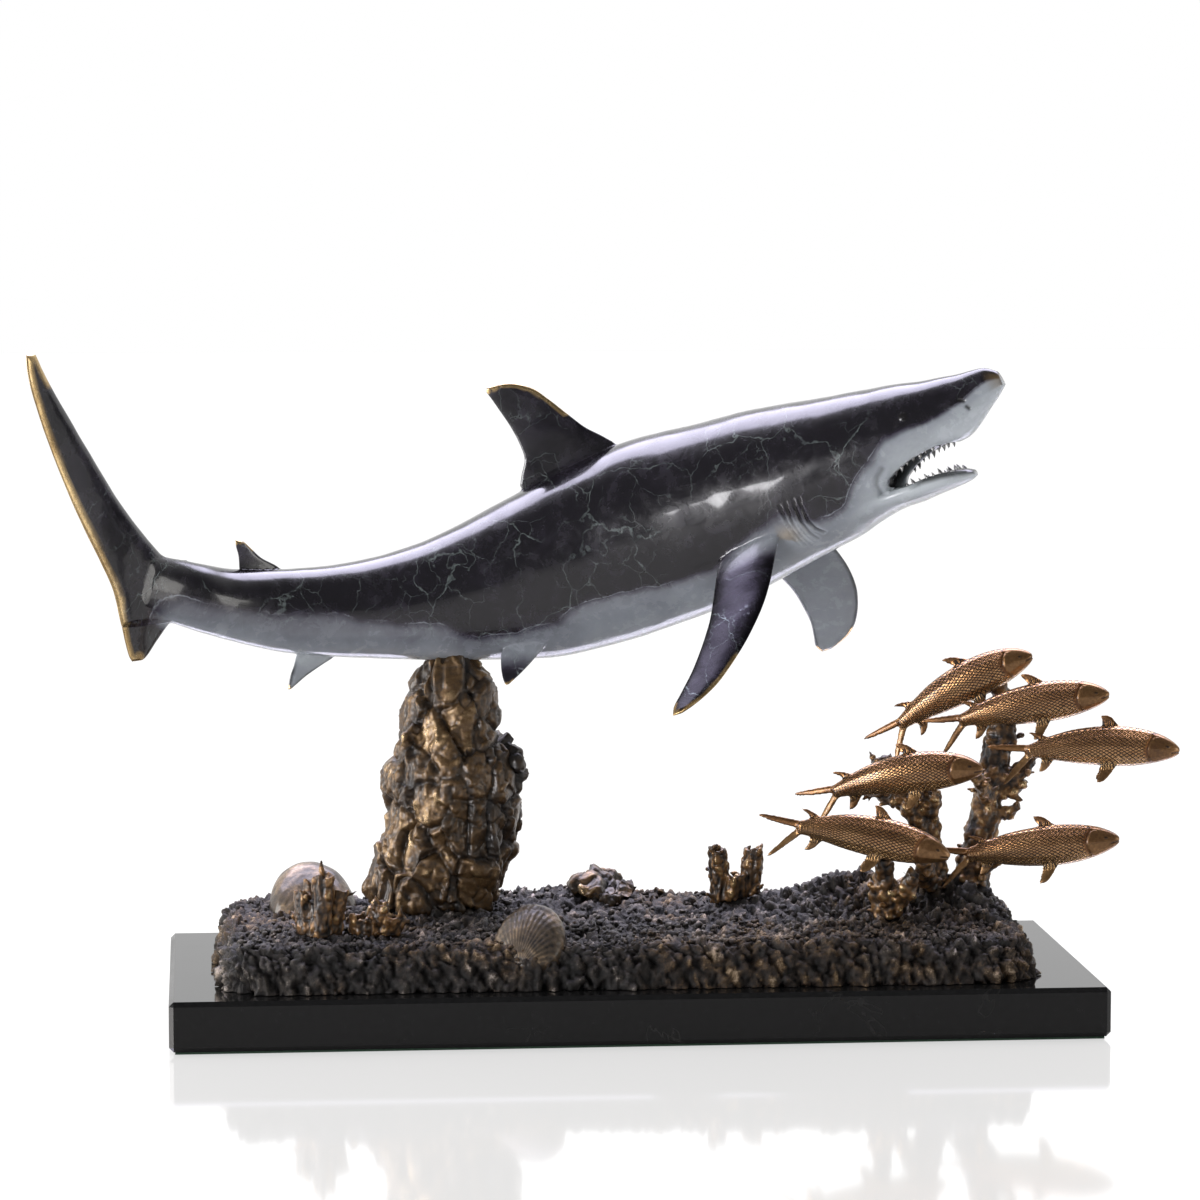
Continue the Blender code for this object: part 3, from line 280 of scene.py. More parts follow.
def settle(name, bm, made, slot_name, *nodes):
    """Turn a bmesh into a piece of the sculpture that stands for CAD nodes."""
    piece = stand(name, bm)
    piece.data.shade_smooth()
    piece.data.materials.append(made)
    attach(piece, "root")
    if nodes:
        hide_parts(*nodes)
    return piece


def bed_body():
    """The bed's skin: a fine grid laid over its flat and down its banks."""
    middle, floor = bed_place()
    half_x, half_y = BED_HALF_LENGTH, BED_HALF_DEPTH
    bank = 32
    bm = bmesh.new()
    bmesh.ops.create_grid(bm, x_segments=BED_CELLS[0], y_segments=BED_CELLS[1], size=0.5)

    def line(index, cells, half):
        from_rim = min(index, cells - index)
        if from_rim < bank:
            inset = BED_DROP * from_rim / bank
        else:
            inset = BED_DROP + (half - BED_DROP) * (from_rim - bank) / (cells / 2 - bank)
        return math.copysign(half - inset, index - cells / 2)

    for vert in bm.verts:
        i = round((vert.co.x + 0.5) * BED_CELLS[0])
        j = round((vert.co.y + 0.5) * BED_CELLS[1])
        rim = min(i, BED_CELLS[0] - i, j, BED_CELLS[1] - j) / bank
        x, y = quarter(line(i, BED_CELLS[0], half_x), line(j, BED_CELLS[1], half_y), half_x, half_y)
        x += middle
        top = bed_level(x, y)
        if rim < 1:
            rise = 1 - (1 - rim) ** 2.6
            height = BANK_FOOT * 0.1 + (top - BANK_FOOT * 0.1) * rise
        else:
            height = top
        vert.co = (x, y, floor + height)
    bmesh.ops.recalc_face_normals(bm, faces=bm.faces)
    if bm.faces[0].normal.z < 0:
        bmesh.ops.reverse_faces(bm, faces=bm.faces)

    def grit(point, normal):
        steep = 1 - max(normal.z, 0.0)
        reef = math.exp(-(((point.x - 0.145) / 0.045) ** 2) - ((point.y + 0.01) / 0.07) ** 2)
        upright = Vector((point.x + 0.35 * point.z, point.y, point.z * (0.55 - 0.30 * reef)))
        sway = sway_of(point, 0.006, 0.0022)
        flat, split, shade = facets(upright + sway, 0.0072, 1.0)
        chip, nick, tint = facets(upright + sway, 0.0036, 5.0)
        big, small = min(split * 4, 1.0), min(nick * 4, 1.0)
        ragged = noise.fractal(point / 0.0042, 0.6, 2.1, 3)
        ridge = 1 - 2.4 * abs(lump(upright, 0.0065, 5.0))
        swell = lump(point, 0.015, 4.0)
        push = 0.0034 * flat + 0.0016 * (big - 0.7) + 0.0016 * chip
        push += (
            0.0007 * (small - 0.7) + 0.0015 * ragged + 0.0010 * ridge + 0.0010 * swell - 0.0012
        )
        push *= 0.95 + 0.30 * steep + 0.5 * reef
        tone = 0.22 + 0.20 * big + 0.10 * small + 0.22 * chip + 0.22 * ragged
        return push, tone + 0.14 * ridge + 0.10 * shade + 0.06 * tint + 0.12 * reef

    relieve(bm, grit)
    rims = [edge for edge in bm.edges if edge.is_boundary]
    skirt = bmesh.ops.extrude_edge_only(bm, edges=rims)["geom"]
    for vert in (item for item in skirt if isinstance(item, bmesh.types.BMVert)):
        vert.co.z = floor
    lower = [edge for edge in bm.edges if edge.is_boundary]
    bmesh.ops.holes_fill(bm, edges=lower)
    return bm


def sand_finish():
    made, tone = finish("dark sand bronze", Coat_Weight=0.04, Coat_Roughness=0.25)
    place = tone.place()
    relief = tone.stored("relief")
    speck = tone.cloud(place, 1100.0, 5.0, 0.65)
    patch = tone.cloud(place, 22.0, 3.0)
    warm = tone.cloud(place, 14.0, 3.0, 0.6)
    # Painted shade: the lowest relief, in the pits and cracks, turns near black, darkened as shade
    # falls there.
    level = relief + (speck - 0.5) * 0.8 + (patch - 0.5) * 0.5
    cool = tone.ramp(
        level,
        (0.20, (0.003, 0.0025, 0.002)),
        (0.50, (0.016, 0.013, 0.011)),
        (0.72, (0.060, 0.051, 0.042)),
        (0.98, (0.40, 0.35, 0.31)),
    )
    brown = tone.ramp(
        level,
        (0.20, (0.004, 0.003, 0.002)),
        (0.50, (0.024, 0.015, 0.009)),
        (0.72, (0.095, 0.060, 0.030)),
        (0.98, (0.40, 0.29, 0.17)),
    )
    colour = tone.mix(tone.step(warm, 0.44, 0.62), cool, brown)
    rough = tone.step(level, 0.3, 0.9, 0.60, 0.34)
    metal = tone.step(level, 0.4, 0.85, 0.10, 0.70)
    bump = tone.bump(speck, 0.9, 0.0007)
    return wear(made, Base_Color=colour, Roughness=rough, Metallic=metal, Normal=bump)


GRIT_COUNT = 1500
GRIT_INSET = 0.010
GRIT_NEAR_FRONT = 0.45


def grit_body():
    """Lumps of grit that are cast with the bed, half sunk in it."""
    middle, floor = bed_place()
    pick = random.Random(8)
    bm = bmesh.new()
    tone = bm.verts.layers.float.new("relief")
    for _ in range(GRIT_COUNT):
        x = middle + pick.uniform(-1, 1) * (BED_HALF_LENGTH - GRIT_INSET)
        y = pick.uniform(-1, 1) * (BED_HALF_DEPTH - GRIT_INSET)
        if pick.random() < GRIT_NEAR_FRONT:
            y = -BED_HALF_DEPTH + 0.012 + pick.random() ** 2 * 0.05
        size = pick.uniform(0.0007, 0.0021)
        spot = Vector((x, y, floor + bed_level(x, y) + size * 0.25))
        turn = Matrix.Rotation(pick.uniform(0, 6.28), 4, "Z")
        turn = turn @ Matrix.Rotation(pick.uniform(0, 3), 4, "X")
        wide, deep = pick.uniform(0.7, 1.5), pick.uniform(0.6, 1.1)
        stretch = Matrix.Diagonal((wide, deep, pick.uniform(0.5, 0.9), 1.0))
        place = Matrix.Translation(spot) @ turn @ stretch
        made = bmesh.ops.create_icosphere(bm, subdivisions=1, radius=size, matrix=place)["verts"]
        for vert in made:
            height = (vert.co.z - spot.z) / size
            vert.co += (vert.co - spot) * (0.5 * lump(vert.co, size * 0.9, 3.0))
            # Painted light and shade: each lump is lighter towards its top and darker at its foot
            # in the bed.
            vert[tone] = 0.50 + 0.22 * height + 0.30 * lump(vert.co, 0.004, 6.0)
    return bm


sand = sand_finish()
settle("sand_bed", bed_body(), sand, "bed_bronze", "seabed")
settle("bed_grit", grit_body(), sand, "bed_bronze")


# Rock column: a heap of stones cast with the mould's ridges on its shaded side. Its hollows
# keep a near-black patina and its faces are rubbed back to golden brown.


def clamp(value):
    """A value held between 0 and 1."""
    return min(max(value, 0.0), 1.0)


def soften(bm, verts, rounds):
    """Relax some points of a skin."""
    axes = {"use_axis_x": True, "use_axis_y": True, "use_axis_z": True}
    for _ in range(rounds):
        bmesh.ops.smooth_vert(bm, verts=verts, factor=0.5, **axes)


def reshaped(body, tools=()):
    """What an object's modifiers make of it, as a bmesh; it and its tools are removed."""
    shape = body.evaluated_get(bpy.context.evaluated_depsgraph_get())
    mesh = bpy.data.meshes.new_from_object(shape)
    for item in (body, *tools):
        bpy.data.objects.remove(item, do_unlink=True)
    made = bmesh.new()
    made.from_mesh(mesh)
    bpy.data.meshes.remove(mesh)
    return made


def melt(bm, size, rounds=1):
    """Overlapping bodies melted into one skin of small even faces, then relaxed."""
    body = stand("melt", bm)
    step = body.modifiers.new("melt", "REMESH")
    step.mode = "VOXEL"
    step.voxel_size = size
    skin = reshaped(body)
    soften(skin, skin.verts, rounds)
    return skin


def copy_of(*nodes):
    """A merged copy of CAD nodes, to be worked further."""
    bm = bmesh.new()
    for node in nodes:
        bm.from_mesh(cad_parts[node].data)
    bmesh.ops.remove_doubles(bm, verts=bm.verts, dist=1e-6)
    return bm


# Heights between which the column narrows to its neck, and the share of its width lost there
NECK_START, NECK_END, NECK_WAIST = 0.160, 0.190, 0.43


def stone_relief(point, normal):
    """Stone faces parted by deep cracks, with upright ridges on the left."""
    sway = sway_of(point, 0.02, 0.004)
    tall = Vector((point.x, point.y, point.z * 0.62)) + sway
    flat, split, shade = facets(tall, 0.0165, 0.0)
    chip, nick, tint = facets(point + sway * 0.5, 0.0085, 4.0)
    big = min(split * 6.0, 1.0)
    small = min(nick * 7.0, 1.0)
    flute = 1 - 2.6 * abs(lump((point.x, point.y, point.z * 0.20), 0.0060, 6.0))
    left = clamp(0.35 - normal.x * 1.1)
    fine = lump(point, 0.0026, 8.0)
    swell = lump(point, 0.012, 11.0)
    rubble = (0.0016 * chip + 0.0006 * (small - 0.7)) * (1 - 0.5 * left)
    push = 0.0052 * flat + 0.0022 * (big - 0.8) + rubble
    push += 0.0013 * flute * left + 0.0004 * fine + 0.0012 * swell
    tone = 0.20 + 0.26 * big + 0.12 * small + 0.18 * flute * left + 0.16 * chip + 0.14 * fine
    return push, tone + 0.10 * shade + 0.08 * tint


def rock_finish(name, brown, gold):
    made, tone = finish(name, Coat_Weight=0.45, Coat_Roughness=0.16)
    place = tone.place()
    relief = tone.stored("relief")
    speck = tone.cloud(place, 420.0, 6.0, 0.65)
    patch = tone.cloud(place, 34.0, 3.0, 0.6, 0.4)
    level = relief + (speck - 0.5) * 0.6 + (patch - 0.5) * 0.7
    colour = tone.ramp(
        level,
        (0.12, (0.006, 0.004, 0.003)),
        (0.42, tuple(0.30 * part for part in brown)),
        (0.66, brown),
        (0.95, gold),
    )
    rough = tone.step(level, 0.2, 0.95, 0.52, 0.26)
    metal = tone.step(level, 0.3, 0.9, 0.25, 0.85)
    bump = tone.bump(speck + patch * 0.6, 0.7, 0.0007)
    return wear(made, Base_Color=colour, Roughness=rough, Metallic=metal, Normal=bump)


rock = rock_finish("golden brown rock bronze", (0.125, 0.072, 0.030), (0.40, 0.28, 0.15))
fine_step = 1.0
column = melt(copy_of("rock_pillar"), 0.0010 * fine_step, 2)
neck = (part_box("rock_pillar")[0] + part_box("rock_pillar")[1]) / 2
for vert in column.verts:
    share = clamp((vert.co.z - NECK_START) / (NECK_END - NECK_START))
    pull = 1 - NECK_WAIST * share * share * (3 - 2 * share)
    vert.co.x = neck.x + (vert.co.x - neck.x) * pull
    vert.co.y = neck.y + (vert.co.y - neck.y) * pull
relieve(column, stone_relief)
settle("rock_column", column, rock, "rock_bronze", "rock_pillar")


# Shark: one hollow casting of trunk, head, open jaws and fins, brazed to the column. Its
# blue-black patina fades to pale grey below, rubbed to gold at the fin tips, under a hard wax.

MM = 0.001
PILLAR_X = -0.089
PILLAR_Y = 0.028
SHARK_HEIGHT = 0.2140
SHARK_LENGTH = 0.497
SHARK_DEPTH = 0.098
SHARK_WIDTH = 0.072
SHARK_SEAT = 0.366
JAW_LENGTH = 0.070
JAW_DROP = 0.0292
JAW_THICKNESS = 0.0115
JAW_WIDTH = 0.038
DORSAL_HEIGHT = 0.098
DORSAL_CHORD = 0.058
TAIL_REACH = 0.118
TAIL_LOWER_REACH = 0.037
TAIL_CHORD = 0.046
PECTORAL_REACH = 0.101
PECTORAL_CHORD = 0.031
PELVIC_REACH = 0.021
PELVIC_CHORD = 0.026
SECOND_DORSAL_HEIGHT = 0.033
SECOND_DORSAL_CHORD = 0.023
ANAL_REACH = 0.040
ANAL_CHORD = 0.024
FIN_THICKNESS = 0.0060
FIN_THINNING = 0.78
SMALL_FIN_THICKNESS = 0.0045
PELVIC_BOW = 0.003


def bell(value):
    """A bell curve: 1 at 0, and about a third at 1."""
    return math.exp(-(value**2))


def turns(count):
    """Angles of equal steps around a ring."""
    return [2 * math.pi * i / count for i in range(count)]


def smooth_value(table, column, t):
    """Read a column of a station table at t with a Catmull-Rom curve."""
    keys = [row[0] for row in table]
    i = max(k for k in range(len(keys) - 1) if t >= keys[k] or k == 0)
    left = max(i - 1, 0)
    right = min(i + 2, len(table) - 1)
    span = keys[i + 1] - keys[i]
    u = clamp((t - keys[i]) / span)
    a, b = table[i][column], table[i + 1][column]
    slope_a = (b - table[left][column]) / (keys[i + 1] - keys[left]) * span
    slope_b = (table[right][column] - a) / (keys[right] - keys[i]) * span
    return (
        (2 * u**3 - 3 * u**2 + 1) * a
        + (u**3 - 2 * u**2 + u) * slope_a
        + (3 * u**2 - 2 * u**3) * b
        + (u**3 - u**2) * slope_b
    )


# Foil section: share of chord from the leading edge, and share of half thickness
FOIL_SECTION = (
    (0.0, 0.0),
    (0.06, 0.55),
    (0.30, 1.0),
    (0.68, 0.70),
    (1.0, 0.22),
    (1.0, -0.22),
    (0.68, -0.70),
    (0.30, -1.0),
    (0.06, -0.55),
)


def fin_rings(root, span, chord, outline, thickness, bow=0.0):
    """Rings of a fin: outline rows give span share, lead and trail as shares of the chord."""
    side = span.cross(chord).normalized()
    rings = []
    for reach, lead, trail in outline:
        thin = thickness * (1 - FIN_THINNING * max(reach, 0.0)) / 2
        bend = side * (bow * max(reach, 0.0) ** 2)
        centre = root + span * reach + bend
        rings.append(
            [
                centre + chord * (lead + (trail - lead) * along) + side * (thin * across)
                for along, across in FOIL_SECTION
            ]
        )
    return rings


# Stations from the tail's root to the snout: share of length, height above and depth below
# the spine as shares of half the depth, half width share, and pitch and heading in degrees
SHARK_STATIONS = (
    (0.000, 0.30, 0.26, 0.12, -15.5, 50.0),
    (0.040, 0.33, 0.31, 0.22, -15.5, 44.0),
    (0.076, 0.35, 0.33, 0.34, -15.0, 39.0),
    (0.111, 0.37, 0.35, 0.38, -13.0, 34.0),
    (0.147, 0.41, 0.385, 0.40, -9.5, 29.0),
    (0.192, 0.45, 0.435, 0.46, -3.7, 24.0),
    (0.238, 0.48, 0.485, 0.53, 0.4, 19.0),
    (0.281, 0.525, 0.535, 0.60, 2.8, 15.0),
    (0.324, 0.585, 0.61, 0.68, 7.8, 11.0),
    (0.366, 0.645, 0.715, 0.76, 13.0, 7.7),
    (0.411, 0.73, 0.84, 0.84, 15.4, 4.0),
    (0.455, 0.825, 0.95, 0.91, 16.2, -0.4),
    (0.499, 0.91, 0.99, 0.96, 17.6, -5.0),
    (0.543, 0.97, 1.01, 0.99, 19.0, -10.6),
    (0.589, 1.01, 1.00, 1.00, 18.4, -16.0),
    (0.631, 0.985, 0.975, 0.99, 18.4, -20.5),
    (0.678, 0.945, 0.925, 0.96, 19.6, -24.0),
    (0.725, 0.905, 0.855, 0.91, 20.4, -26.0),
    (0.772, 0.825, 0.785, 0.85, 22.0, -27.0),
    (0.805, 0.75, 0.75, 0.79, 23.8, -27.3),
    (0.842, 0.665, 0.62, 0.72, 25.5, -27.5),
    (0.865, 0.605, 0.47, 0.66, 25.5, -27.6),
    (0.882, 0.56, 0.375, 0.61, 25.4, -27.7),
    (0.901, 0.505, 0.325, 0.54, 25.8, -27.8),
    (0.921, 0.44, 0.30, 0.455, 27.0, -27.8),
    (0.943, 0.38, 0.305, 0.365, 28.2, -27.9),
    (0.960, 0.325, 0.24, 0.295, 29.0, -28.0),
    (0.976, 0.285, 0.155, 0.22, 29.0, -28.0),
    (0.990, 0.235, 0.085, 0.16, 28.5, -28.0),
    (1.000, 0.140, 0.02, 0.08, 28.0, -28.0),
)
SPINE_STEPS = 400
HEAD_SHARE = 0.865


def shark_heading(t):
    """Forward, right-hand and upward directions of the spine at a share of its length."""
    pitch = math.radians(smooth_value(SHARK_STATIONS, 4, t))
    yaw = math.radians(smooth_value(SHARK_STATIONS, 5, t))
    flat = math.cos(pitch)
    forward = Vector((math.cos(yaw) * flat, math.sin(yaw) * flat, math.sin(pitch)))
    right = Vector((math.sin(yaw), -math.cos(yaw), 0.0))
    return forward, right, right.cross(forward)


def make_spine():
    """Points along the spine, walked both ways from the seat on the column."""
    step = SHARK_LENGTH / SPINE_STEPS
    seat = round(SHARK_SEAT * SPINE_STEPS)
    points = [Vector((PILLAR_X, PILLAR_Y, SHARK_HEIGHT))] * (SPINE_STEPS + 1)
    for i in range(seat, SPINE_STEPS):
        points[i + 1] = points[i] + shark_heading((i + 0.5) / SPINE_STEPS)[0] * step
    for i in range(seat, 0, -1):
        points[i - 1] = points[i] - shark_heading((i - 0.5) / SPINE_STEPS)[0] * step
    return points


SPINE = make_spine()


def spine_point(t):
    """Point of the spine at a share of its length."""
    place = clamp(t) * SPINE_STEPS
    i = min(int(place), SPINE_STEPS - 1)
    return SPINE[i].lerp(SPINE[i + 1], place - i)


def body_point(t, right=0.0, up=0.0, forward=0.0):
    """Point given in the shark's own directions from its spine."""
    ahead, side, above = shark_heading(t)
    return spine_point(t) + ahead * forward + side * right + above * up


def body_size(t):
    """Height above the spine, depth below it and half width at a share of the length."""
    half = SHARK_DEPTH / 2
    return (
        smooth_value(SHARK_STATIONS, 1, t) * half,
        smooth_value(SHARK_STATIONS, 2, t) * half,
        smooth_value(SHARK_STATIONS, 3, t) * SHARK_WIDTH / 2,
    )


def body_rings(first=0.0, last=1.0, count=40, around=24):
    """Rings of the trunk and head."""
    rings = []
    for k in range(count):
        t = first + (last - first) * k / (count - 1)
        above, below, half = body_size(t)
        rings.append([
            body_point(t, half * math.cos(a), (above if math.sin(a) > 0 else below) * math.sin(a))
            for a in turns(around)
        ])
    return rings


# Lower jaw: share of its length, top and underside from the jaw line, half width, all shares
JAW_STATIONS = (
    (0.00, 0.50, -0.10, 0.70),
    (0.14, 0.62, -0.40, 1.02),
    (0.30, 0.66, -0.55, 1.08),
    (0.42, 0.66, -0.52, 1.04),
    (0.56, 0.66, -0.47, 0.94),
    (0.68, 0.60, -0.47, 0.82),
    (0.80, 0.42, -0.50, 0.68),
    (0.90, 0.20, -0.52, 0.50),
    (0.96, 0.04, -0.50, 0.34),
    (1.00, -0.12, -0.42, 0.18),
)
JAW_START = -0.0355


def jaw_point(share, across, lift):
    """Point on the jaw: share of its length, right-hand offset and height above its line."""
    forward = JAW_START + JAW_LENGTH * share
    return body_point(HEAD_SHARE, across, lift - JAW_DROP, forward)


def mouth_rings(stations, count):
    """Rings of the lower jaw, or of a gap above it, from its stations."""
    rings = []
    for share, edge, other_edge, wide in stations:
        low, high = sorted((edge * JAW_THICKNESS, other_edge * JAW_THICKNESS))
        middle, half = (high + low) / 2, (high - low) / 2
        wide = wide * JAW_WIDTH / 2
        rings.append([
            jaw_point(share, wide * math.cos(a), middle + half * math.sin(a)) for a in turns(count)
        ])
    return rings


# The hollow inside the mouth: share of the jaw, floor, roof and half width
MOUTH_HOLLOW = (
    (0.28, 0.30, 0.80, 0.40),
    (0.38, 0.08, 1.25, 0.62),
    (0.52, 0.00, 1.75, 0.72),
    (0.66, 0.00, 2.00, 0.60),
    (0.78, 0.00, 1.90, 0.44),
    (0.88, -0.05, 1.60, 0.26),
    (0.93, -0.02, 1.30, 0.14),
)


# Fin outlines: share of the reach, then leading and trailing edge as shares of the chord
DORSAL_OUTLINE = (
    (0.30, 1.12, 0.05),
    (0.42, 1.05, -0.02),
    (0.50, 0.95, 0.02),
    (0.58, 0.82, 0.09),
    (0.66, 0.68, 0.09),
    (0.76, 0.56, 0.06),
    (0.86, 0.44, 0.01),
    (0.93, 0.34, -0.03),
    (0.98, 0.20, -0.06),
    (1.00, 0.08, -0.05),
)
PECTORAL_OUTLINE = (
    (-0.10, 0.62, -0.42),
    (0.12, 0.75, -0.32),
    (0.30, 0.86, -0.18),
    (0.45, 0.90, -0.08),
    (0.60, 0.87, -0.04),
    (0.74, 0.77, -0.04),
    (0.86, 0.62, -0.09),
    (0.94, 0.42, -0.13),
    (1.00, 0.10, -0.08),
)
TAIL_UPPER_OUTLINE = (
    (-0.16, 0.60, -0.50),
    (0.00, 0.56, -0.64),
    (0.13, 0.14, -0.85),
    (0.25, -0.22, -1.06),
    (0.37, -0.53, -1.26),
    (0.49, -0.80, -1.44),
    (0.61, -1.06, -1.61),
    (0.73, -1.31, -1.76),
    (0.84, -1.54, -1.88),
    (0.93, -1.71, -1.95),
    (1.00, -1.82, -1.97),
)
TAIL_LOWER_OUTLINE = (
    (-0.30, 0.60, -0.52),
    (0.10, 0.58, -0.57),
    (0.36, 0.52, -0.53),
    (0.55, 0.28, -0.49),
    (0.76, 0.08, -0.44),
    (0.92, -0.06, -0.39),
    (1.00, -0.16, -0.34),
)
SECOND_DORSAL_OUTLINE = (
    (0.45, 1.25, 0.00),
    (0.68, 1.05, -0.08),
    (0.80, 0.48, -0.14),
    (0.90, 0.20, -0.22),
    (1.00, -0.05, -0.27),
)
ANAL_OUTLINE = (
    (0.40, 1.45, 0.35),
    (0.56, 1.20, 0.28),
    (0.70, 0.85, 0.23),
    (0.82, 0.55, 0.17),
    (0.93, 0.32, 0.14),
    (1.00, 0.18, 0.13),
)
PELVIC_OUTLINE = (
    (-0.40, 0.50, -0.50),
    (0.00, 0.50, -0.50),
    (0.35, 0.34, -0.42),
    (0.70, 0.14, -0.30),
    (0.92, -0.02, -0.20),
    (1.00, -0.08, -0.14),
)
# Places of the fins along the body, and roots of the paired ones in the section
DORSAL_PLACE = 0.471
SECOND_DORSAL_PLACE = 0.125
ANAL_PLACE = 0.187
TAIL_PLACE = 0.012
PECTORAL_PLACE = 0.693
PECTORAL_ROOT = (0.80, 0.50)
FAR_PECTORAL_CHORD = 1.10 * PECTORAL_CHORD
NEAR_PELVIC_PLACE = 0.424
FAR_PELVIC_PLACE = 0.434
PELVIC_ROOT = (0.60, 0.80)
# Poses of the paired fins: sweep back, spread outwards and droop, as shares of the reach
NEAR_PECTORAL_POSE = (-0.40, 0.60, -0.69)
FAR_PECTORAL_POSE = (-0.12, 0.60, -0.63)
NEAR_PELVIC_POSE = (-0.58, 0.30, -0.77)
FAR_PELVIC_POSE = (-0.35, 0.30, -0.80)


def keel_fin(t, outline, reach, chord, upward, thickness):
    """Rings of a fin in the body's middle plane."""
    ahead, _, above = shark_heading(t)
    return fin_rings(spine_point(t), above * (reach * upward), ahead * chord, outline, thickness)


def paired_fin(t, hand, place, pose, outline, reach, chord, bow):
    """Rings of a fin on one flank, its root given as shares of half width and of the depth."""
    ahead, side, above = shark_heading(t)
    _, below, half = body_size(t)
    root = body_point(t, hand * half * place[0], -below * place[1])
    sweep, spread, droop = pose
    span = (ahead * sweep + side * (hand * spread) + above * droop) * reach
    return fin_rings(root, span, ahead * chord, outline, FIN_THICKNESS, bow)


def tail_rings(outline, reach):
    """Rings of one lobe of the tail, upright in the plane of the tail's root."""
    _, right, _ = shark_heading(0.0)
    ahead = Vector((-right.y, right.x, 0.0))
    span = Vector((0, 0, reach))
    return fin_rings(body_point(TAIL_PLACE), span, ahead * TAIL_CHORD, outline, FIN_THICKNESS)


def pelvic_rings():
    """Both pelvic fins, beside the column."""
    near = (NEAR_PELVIC_PLACE, 1, PELVIC_ROOT, NEAR_PELVIC_POSE)
    far = (FAR_PELVIC_PLACE, -1, PELVIC_ROOT, FAR_PELVIC_POSE)
    fins = []
    for side in (near, far):
        bow = PELVIC_BOW * side[1]
        fins.append(paired_fin(*side, PELVIC_OUTLINE, PELVIC_REACH, PELVIC_CHORD, bow))
    return fins


def closed(rings):
    """A closed body skinned through rings: a grid rolled into a tube, with its ends filled."""
    around, rows = len(rings[0]), len(rings) - 1
    bm = bmesh.new()
    bmesh.ops.create_grid(bm, x_segments=around, y_segments=rows, size=0.5)
    for vert in bm.verts:
        i = round((vert.co.x + 0.5) * around)
        j = round((vert.co.y + 0.5) * rows)
        vert.co = rings[j][i % around]
    bmesh.ops.remove_doubles(bm, verts=bm.verts, dist=1e-7)
    bmesh.ops.holes_fill(bm, edges=[edge for edge in bm.edges if edge.is_boundary])
    bmesh.ops.recalc_face_normals(bm, faces=bm.faces)
    return bm


def carve(bm, tools, operation="DIFFERENCE"):
    """Cut closed bodies out of another, or join them to it."""
    base = stand("carved", bm)
    cutters = [stand("tool", tool) for tool in tools]
    for cutter in cutters:
        step = base.modifiers.new("cut", "BOOLEAN")
        step.operation = operation
        step.solver = "EXACT"
        step.object = cutter
    return reshaped(base, cutters)


def joined(bodies):
    """Several bodies in one bmesh."""
    bm = bmesh.new()
    for body in bodies:
        mesh = bpy.data.meshes.new("joined")
        body.to_mesh(mesh)
        body.free()
        bm.from_mesh(mesh)
        bpy.data.meshes.remove(mesh)
    return bm


def full_fin(rings, thin=0.0012):
    """A fin's coarse rings turned into a body with a round section and closed soft rims."""
    steps, around = ((8, 18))
    table = []
    for k, ring in enumerate(rings):
        trail = (ring[4] + ring[5]) / 2
        side = ring[2] - ring[7]
        if table and side.dot(Vector(table[-1][7:10])) < 0:
            side = -side
        table.append((k, *ring[0], *trail, *(side / 2)))
    count = (len(rings) - 1) * steps
    made = []
    for k in range(count + 1):
        read = [smooth_value(table, column, k / steps) for column in range(1, 10)]
        lead, trail, side = Vector(read[0:3]), Vector(read[3:6]), Vector(read[6:9])
        close = (0.85, 0.65, 0.3)[k - count + 2] if k >= count - 2 else 1.0
        half = max(side.length, thin) * close
        ring = []
        for i in range(around * 2):
            angle = math.pi * i / around
            along = 0.5 - 0.5 * math.cos(angle)
            across = math.sqrt(max(1 - abs(2 * along - 1) ** 2.6, 0.0)) * (1.05 - 0.4 * along)
            across = math.copysign(across, math.sin(angle)) * (i % around > 0)
            ring.append(lead.lerp(trail, along) + side.normalized() * (half * across))
        made.append(ring)
    return closed(made)


def rim_points(rings, front, back, size):
    """Points along a fin's two edges with the width of the band that is rubbed there."""
    points = []
    for lower, upper in zip(rings, rings[1:]):
        for k in range(12):
            share = (rings.index(lower) + k / 12) / (len(rings) - 1)
            lead = lower[0].lerp(upper[0], k / 12)
            trail = ((lower[4] + lower[5]) / 2).lerp((upper[4] + upper[5]) / 2, k / 12)
            points += [(lead, size)] * (share > front) + [(trail, size)] * (share > back)
    points.append((rings[-1][0].lerp(rings[-1][4], 0.5), size * 1.4))
    return points


